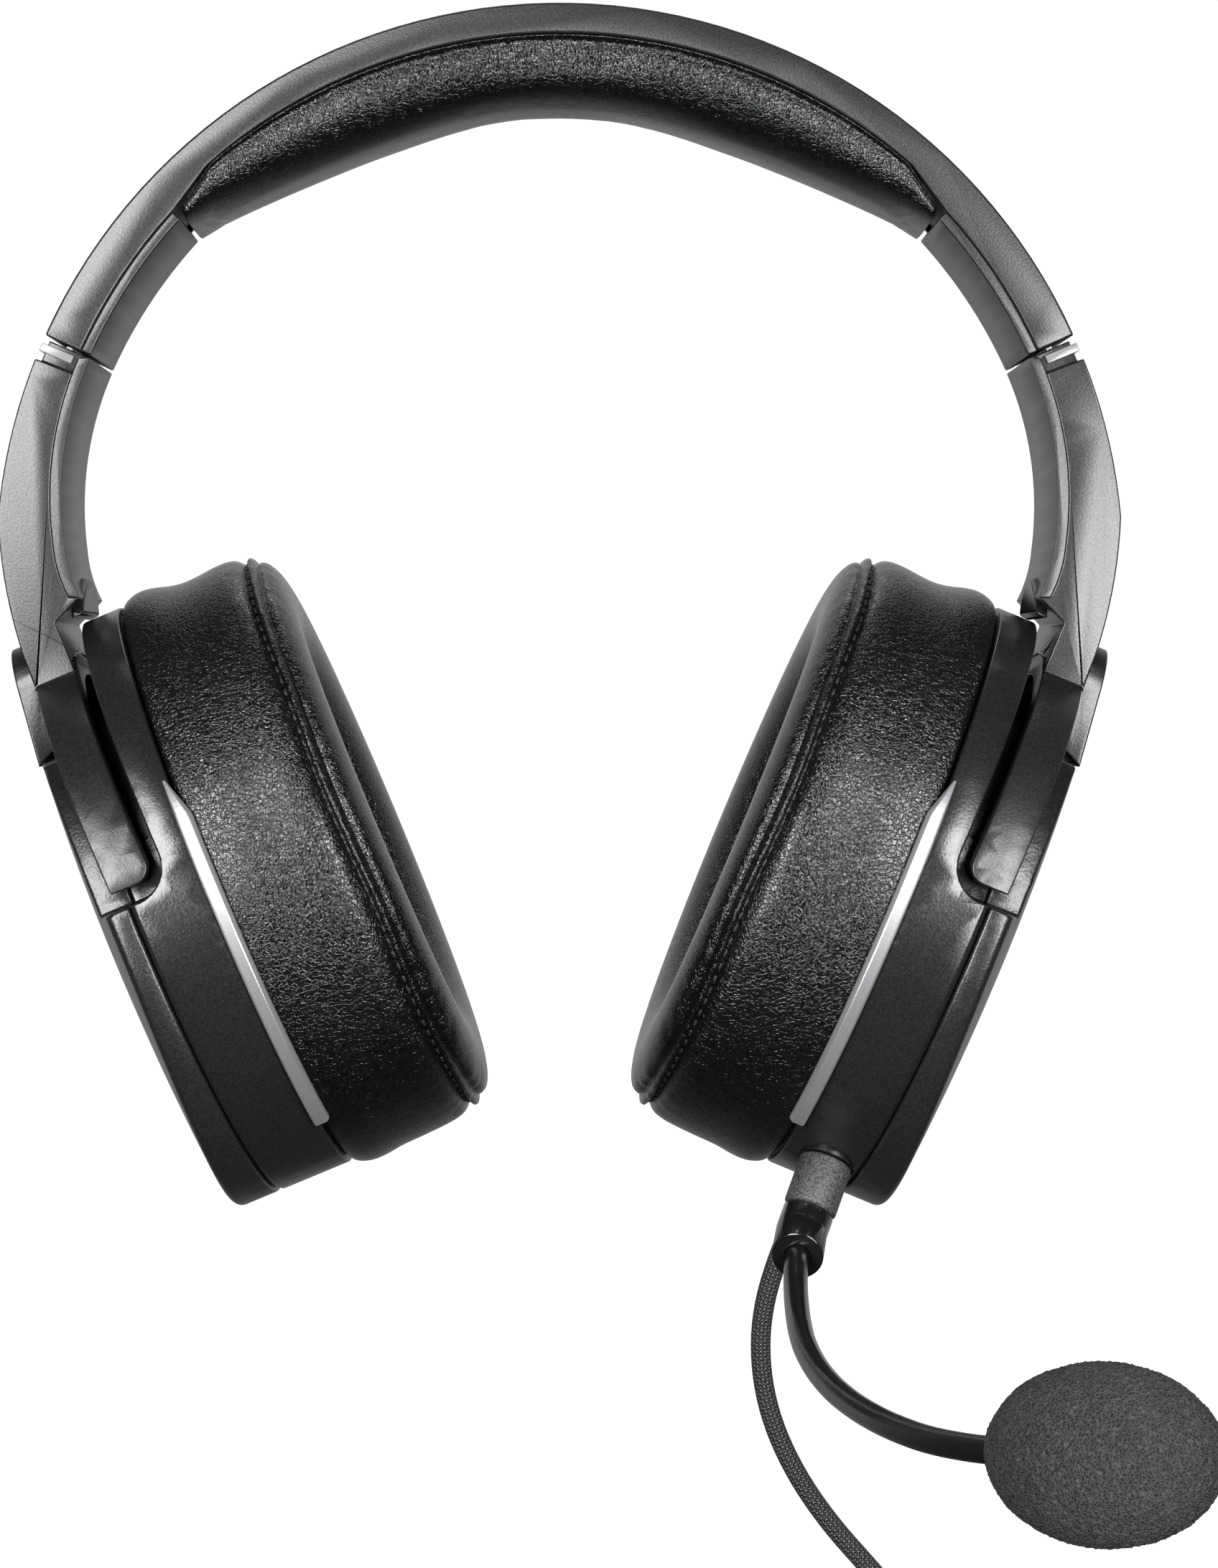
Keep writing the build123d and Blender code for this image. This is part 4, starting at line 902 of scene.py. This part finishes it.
def speaker_cloth(name):
    bm = bmesh.new()
    uv = bm.loops.layers.uv.new("cloth")
    middle = bm.verts.new(in_cup(-1.15, 0, 0))
    rings = []
    for n in range(1, CLOTH_RINGS + 1):
        share = n / CLOTH_RINGS
        out = -0.45 - 0.7 * (1 - share ** 2)
        deep, high = CLOTH_HALF[0] * share, CLOTH_HALF[1] * share
        rings.append([bm.verts.new(in_cup(out, deep * math.cos(a), high * math.sin(a)))
                      for a in (2 * math.pi * k / CLOTH_AROUND for k in range(CLOTH_AROUND))])
    faces = [(middle, rings[0][k], rings[0][(k + 1) % CLOTH_AROUND]) for k in range(CLOTH_AROUND)]
    for one, two in zip(rings, rings[1:]):
        faces += [(one[k], two[k], two[(k + 1) % CLOTH_AROUND], one[(k + 1) % CLOTH_AROUND])
                  for k in range(CLOTH_AROUND)]
    for corners in faces:
        face = bm.faces.new(corners)
        face.smooth = True
        for loop in face.loops:
            from_middle = loop.vert.co - CUP_MIDDLE
            loop[uv].uv = (from_middle.y, from_middle.dot(CUP_UP))
    bm.normal_update()
    if sum(f.normal.dot(CUP_OUT) for f in bm.faces) > 0:
        bmesh.ops.reverse_faces(bm, faces=bm.faces)
    mesh = bpy.data.meshes.new(name)
    bm.to_mesh(mesh)
    bm.free()
    holder = bpy.data.objects.new("holder", mesh)
    scene.collection.objects.link(holder)
    thick = holder.modifiers.new("thick", "SOLIDIFY")
    thick.thickness = 0.35 * MM
    thick.offset = -1
    made = bpy.data.meshes.new_from_object(holder.evaluated_get(bpy.context.evaluated_depsgraph_get()))
    bpy.data.objects.remove(holder)
    return made


mesh_cloth, tree, shader = new_material("speaker_mesh", (0.012, 0.012, 0.013), 0.8, sheen_weight=0.25)
uv_map = node(tree, "ShaderNodeUVMap", uv_map="cloth")
holes = node(tree, "ShaderNodeTexVoronoi", feature="F1", Scale=1100.0, Randomness=0.0)
link(tree, uv_map.outputs[0], holes.inputs["Vector"])
knit_and_hole_shade = node(tree, "ShaderNodeMapRange", interpolation_type="SMOOTHSTEP")
knit_and_hole_shade.inputs["From Min"].default_value = 0.25
knit_and_hole_shade.inputs["From Max"].default_value = 0.48
link(tree, holes.outputs["Distance"], knit_and_hole_shade.inputs["Value"])
# Painted shade: the knit's holes are painted nearly black, as the shade seen through them.
blend_colours(tree, knit_and_hole_shade.outputs[0], (0.001, 0.001, 0.001), (0.020, 0.020, 0.021), shader.inputs["Base Color"])
raise_bump(tree, shader, knit_and_hole_shade.outputs[0], 0.0002)
film, tree, shader = new_material("diaphragm_film", (0.42, 0.42, 0.40), 0.2, transmission_weight=0.3)
ripple(tree, shader, 700.0, 0.0001)
magnet = brushed("magnet_plating", (0.48, 0.48, 0.49), 0.28, 60)
cloth_left = speaker_cloth("speaker_cloth")
for side, mesh in (("left", cloth_left), ("right", mirrored(cloth_left, "speaker_cloth_right"))):
    piece = add_piece(f"speaker_cloth_{side}", mesh, f"cup_{side}", mesh_cloth)
    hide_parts(f"pad_cloth_{side}")
    finish_node(f"baffle_{side}", inner_skin)
    finish_node(f"driver_frame_{side}", inner_skin)
    finish_node(f"driver_magnet_{side}", magnet)
    finish_node(f"driver_diaphragm_{side}", film)
board, tree, shader = new_material("circuit_board", (0.01, 0.07, 0.03), 0.25)
where = node(tree, "ShaderNodeTexCoord")
tracks = node(tree, "ShaderNodeTexBrick", Scale=420.0)
tracks.inputs["Color1"].default_value = (0.008, 0.060, 0.025, 1)
tracks.inputs["Color2"].default_value = (0.012, 0.085, 0.035, 1)
tracks.inputs["Mortar"].default_value = (0.20, 0.16, 0.06, 1)
link(tree, where.outputs["Object"], tracks.inputs["Vector"])
link(tree, tracks.outputs["Color"], shader.inputs["Base Color"])
finish_node("circuit_board", board)

# ---- Head cushion ----
# A foam pad in leatherette under the band's crown. Its front and back are rolled, its underside is nearly flat, and
# it thins out to both ends, where it tucks into the band.
BAND_CENTRE_Z = -79.3
CUSHION_LOW = [(0, 0), (13.8, -1.3), (30.2, -6.4), (42.9, -11.4), (54.6, -16.5), (63.3, -20.9)]
CUSHION_SECTION = [(-14.2, 0.0), (-15.15, 0.10), (-15.45, 0.28), (-15.25, 0.48), (-14.3, 0.68), (-12.3, 0.85),
                   (-9.2, 0.95), (-5.0, 0.99), (0.0, 1.0)]
CUSHION_STATIONS = 150


def low_edge(x):
    """The underside's height, smooth through its known points."""
    points = [(-CUSHION_LOW[1][0], CUSHION_LOW[1][1])] + CUSHION_LOW
    points.append((2 * CUSHION_LOW[-1][0] - CUSHION_LOW[-2][0], 2 * CUSHION_LOW[-1][1] - CUSHION_LOW[-2][1]))
    x = min(abs(x), CUSHION_LOW[-1][0])
    n = max(k for k in range(1, len(points) - 2) if points[k][0] <= x + 1e-9)
    (x0, z0), (x1, z1), (x2, z2), (x3, z3) = points[n - 1:n + 3]
    t = (x - x1) / (x2 - x1)
    m1 = (z2 - z0) / (x2 - x0) * (x2 - x1)
    m2 = (z3 - z1) / (x3 - x1) * (x2 - x1)
    return ((2 * t ** 3 - 3 * t * t + 1) * z1 + (t ** 3 - 2 * t * t + t) * m1 + (3 * t * t - 2 * t ** 3) * z2
            + (t ** 3 - t * t) * m2)


def top_edge(share):
    """The line under the band, from the crown to where the cushion tucks in."""
    arc_share = min(share / 0.93, 1.0)
    angle = math.radians(90 - arc_share * (90 - 49.2))
    x, z = 90.45 * math.cos(angle), BAND_CENTRE_Z + 90.45 * math.sin(angle)
    last = max(0.0, (share - 0.93) / 0.07)
    return x + (64.5 - x) * last, z + (-18.9 - z) * last


def cushion_mesh(name):
    half = CUSHION_SECTION
    section = smooth_loop(half + [(-y, h) for y, h in reversed(half[:-1])], 3)
    section = [(y, max(0.0, h)) for y, h in section]
    bm = bmesh.new()
    rings = []
    for n in range(-CUSHION_STATIONS, CUSHION_STATIONS + 1):
        share = abs(n) / CUSHION_STATIONS
        side = -1 if n < 0 else 1
        tx, tz = top_edge(share)
        lx = share * CUSHION_LOW[-1][0]
        lz = low_edge(lx)
        draw_in = 1 - 0.05 * max(0.0, (share - 0.93) / 0.07) ** 2
        ring = []
        for y, h in section:
            crease = 0.18 * noise.noise(Vector((side * tx * 0.30, y * 0.05, 5.0))) * math.exp(-h / 0.16)
            lift = 0.12 * noise.noise(Vector((side * tx * 0.06, y * 0.12, 2.0))) * h
            ring.append(bm.verts.new(Vector((side * (tx + (lx - tx) * h), (y + math.copysign(crease, y)) * draw_in,
                                             tz + (lz - tz) * h + lift)) * MM))
        rings.append(ring)
    count = len(section)
    for one, two in zip(rings, rings[1:]):
        for k in range(count):
            face = bm.faces.new((one[k], one[(k + 1) % count], two[(k + 1) % count], two[k]))
            face.smooth = True
    for ring in (rings[0], rings[-1]):
        bm.faces.new(ring)
    bmesh.ops.remove_doubles(bm, verts=bm.verts, dist=2e-6)
    bmesh.ops.recalc_face_normals(bm, faces=bm.faces)
    bm.verts.ensure_lookup_table()
    held = [v.index for v in bm.verts if abs(v.co.x) > 61 * MM or (v.co.x ** 2 + (v.co.z - BAND_CENTRE_Z * MM) ** 2)
            > (89.6 * MM) ** 2]
    mesh = bpy.data.meshes.new(name)
    bm.to_mesh(mesh)
    bm.free()
    return mesh, held


cushion_leather = leatherette("cushion_leatherette", (0.0035, 0.0035, 0.0038), 0.21, 0.80, 0.045)
cushion_shape, held = cushion_mesh("head_cushion")
inflate(cushion_shape, held, 3.0, 0.3)
cushion = add_piece("head_cushion", subdivided(cushion_shape), "headband", cushion_leather)
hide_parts("headband_cushion")

# ---- Microphone ----
# A textured rubber sleeve plugs into the left cup. A glossy elbow turns in it and holds a curved, rigid boom, which
# ends in a small metal capsule inside an egg of open-cell foam.
sleeve_rubber = spark_skin("sleeve_rubber", (0.030, 0.030, 0.031), 0.5, 0.38, 0.12, 0.3, 2.6)
glossy_black, tree, shader = new_material("glossy_black", (0.006, 0.006, 0.0065), 0.14, coat_weight=0.3)
ripple(tree, shader, 400.0, 0.00003)
boom_skin, tree, shader = new_material("boom_skin", (0.007, 0.007, 0.0075), 0.24)
ripple(tree, shader, 900.0, 0.00004)
moulding("mic_plug_sleeve", sleeve_rubber, 0.7, 4)
moulding("mic_elbow", glossy_black, 0.3, 2)
finish_node("mic_socket", inner_skin)
finish_node("mic_plug_pin", gilt)
capsule_metal = brushed("capsule_metal", (0.45, 0.45, 0.46), 0.3, 60)
moulding("mic_capsule", capsule_metal, 0.4, 2)
moulding("mic_gooseneck", boom_skin, 0.2, 2, 50)

BOOM_END = Vector((68.5, -124.0, -206.3)) * MM
BOOM_BEFORE = Vector((60.0, -116.5, -207.6)) * MM
FOAM_LONG, FOAM_R, FOAM_AHEAD = 17.6, 12.3, 8.6


def foam_mesh(name):
    """An egg with the torn cells of open foam over its whole skin."""
    ahead = (BOOM_END - BOOM_BEFORE).normalized()
    turn = ahead.to_track_quat("Z", "Y")
    middle = BOOM_END + ahead * FOAM_AHEAD * MM
    bm = bmesh.new()
    bmesh.ops.create_icosphere(bm, subdivisions=7, radius=1.0)
    for vert in bm.verts:
        c = vert.co
        shape = Vector((c.x * FOAM_R, c.y * FOAM_R, c.z * FOAM_LONG))
        normal = Vector((c.x / FOAM_R, c.y / FOAM_R, c.z / FOAM_LONG)).normalized()
        cell = noise.voronoi(shape * 1.1)[0]
        pit = min(1.0, (cell[1] - cell[0]) * 2.2)
        torn = noise.fractal(shape * 2.1, 0.8, 2.0, 3)
        wave = noise.noise(shape * 0.22)
        shape += normal * (0.35 - 0.32 * pit + 0.14 * torn + 0.15 * wave)
        vert.co = middle + turn @ (shape * MM)
    for face in bm.faces:
        face.smooth = True
    mesh = bpy.data.meshes.new(name)
    bm.to_mesh(mesh)
    bm.free()
    return mesh


foam, tree, shader = new_material("windscreen_foam", (0.01, 0.01, 0.0105), 0.85)
where = node(tree, "ShaderNodeTexCoord")
web = node(tree, "ShaderNodeTexVoronoi", feature="DISTANCE_TO_EDGE", Scale=1900.0)
link(tree, where.outputs["Object"], web.inputs["Vector"])
strut_and_pore_shade = node(tree, "ShaderNodeMapRange")
strut_and_pore_shade.inputs["From Max"].default_value = 0.30
strut_and_pore_shade.inputs["To Min"].default_value = 1.0
strut_and_pore_shade.inputs["To Max"].default_value = 0.0
link(tree, web.outputs["Distance"], strut_and_pore_shade.inputs["Value"])
# Painted shade: the pores between the foam's struts are painted nearly black, and the struts lighter.
blend_colours(tree, strut_and_pore_shade.outputs[0], (0.0008, 0.0008, 0.0008), (0.050, 0.050, 0.052), shader.inputs["Base Color"])
raise_bump(tree, shader, strut_and_pore_shade.outputs[0], 0.0003)
windscreen = add_piece("mic_windscreen", foam_mesh("mic_windscreen"), "mic_boom", foam)
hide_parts("mic_foam")
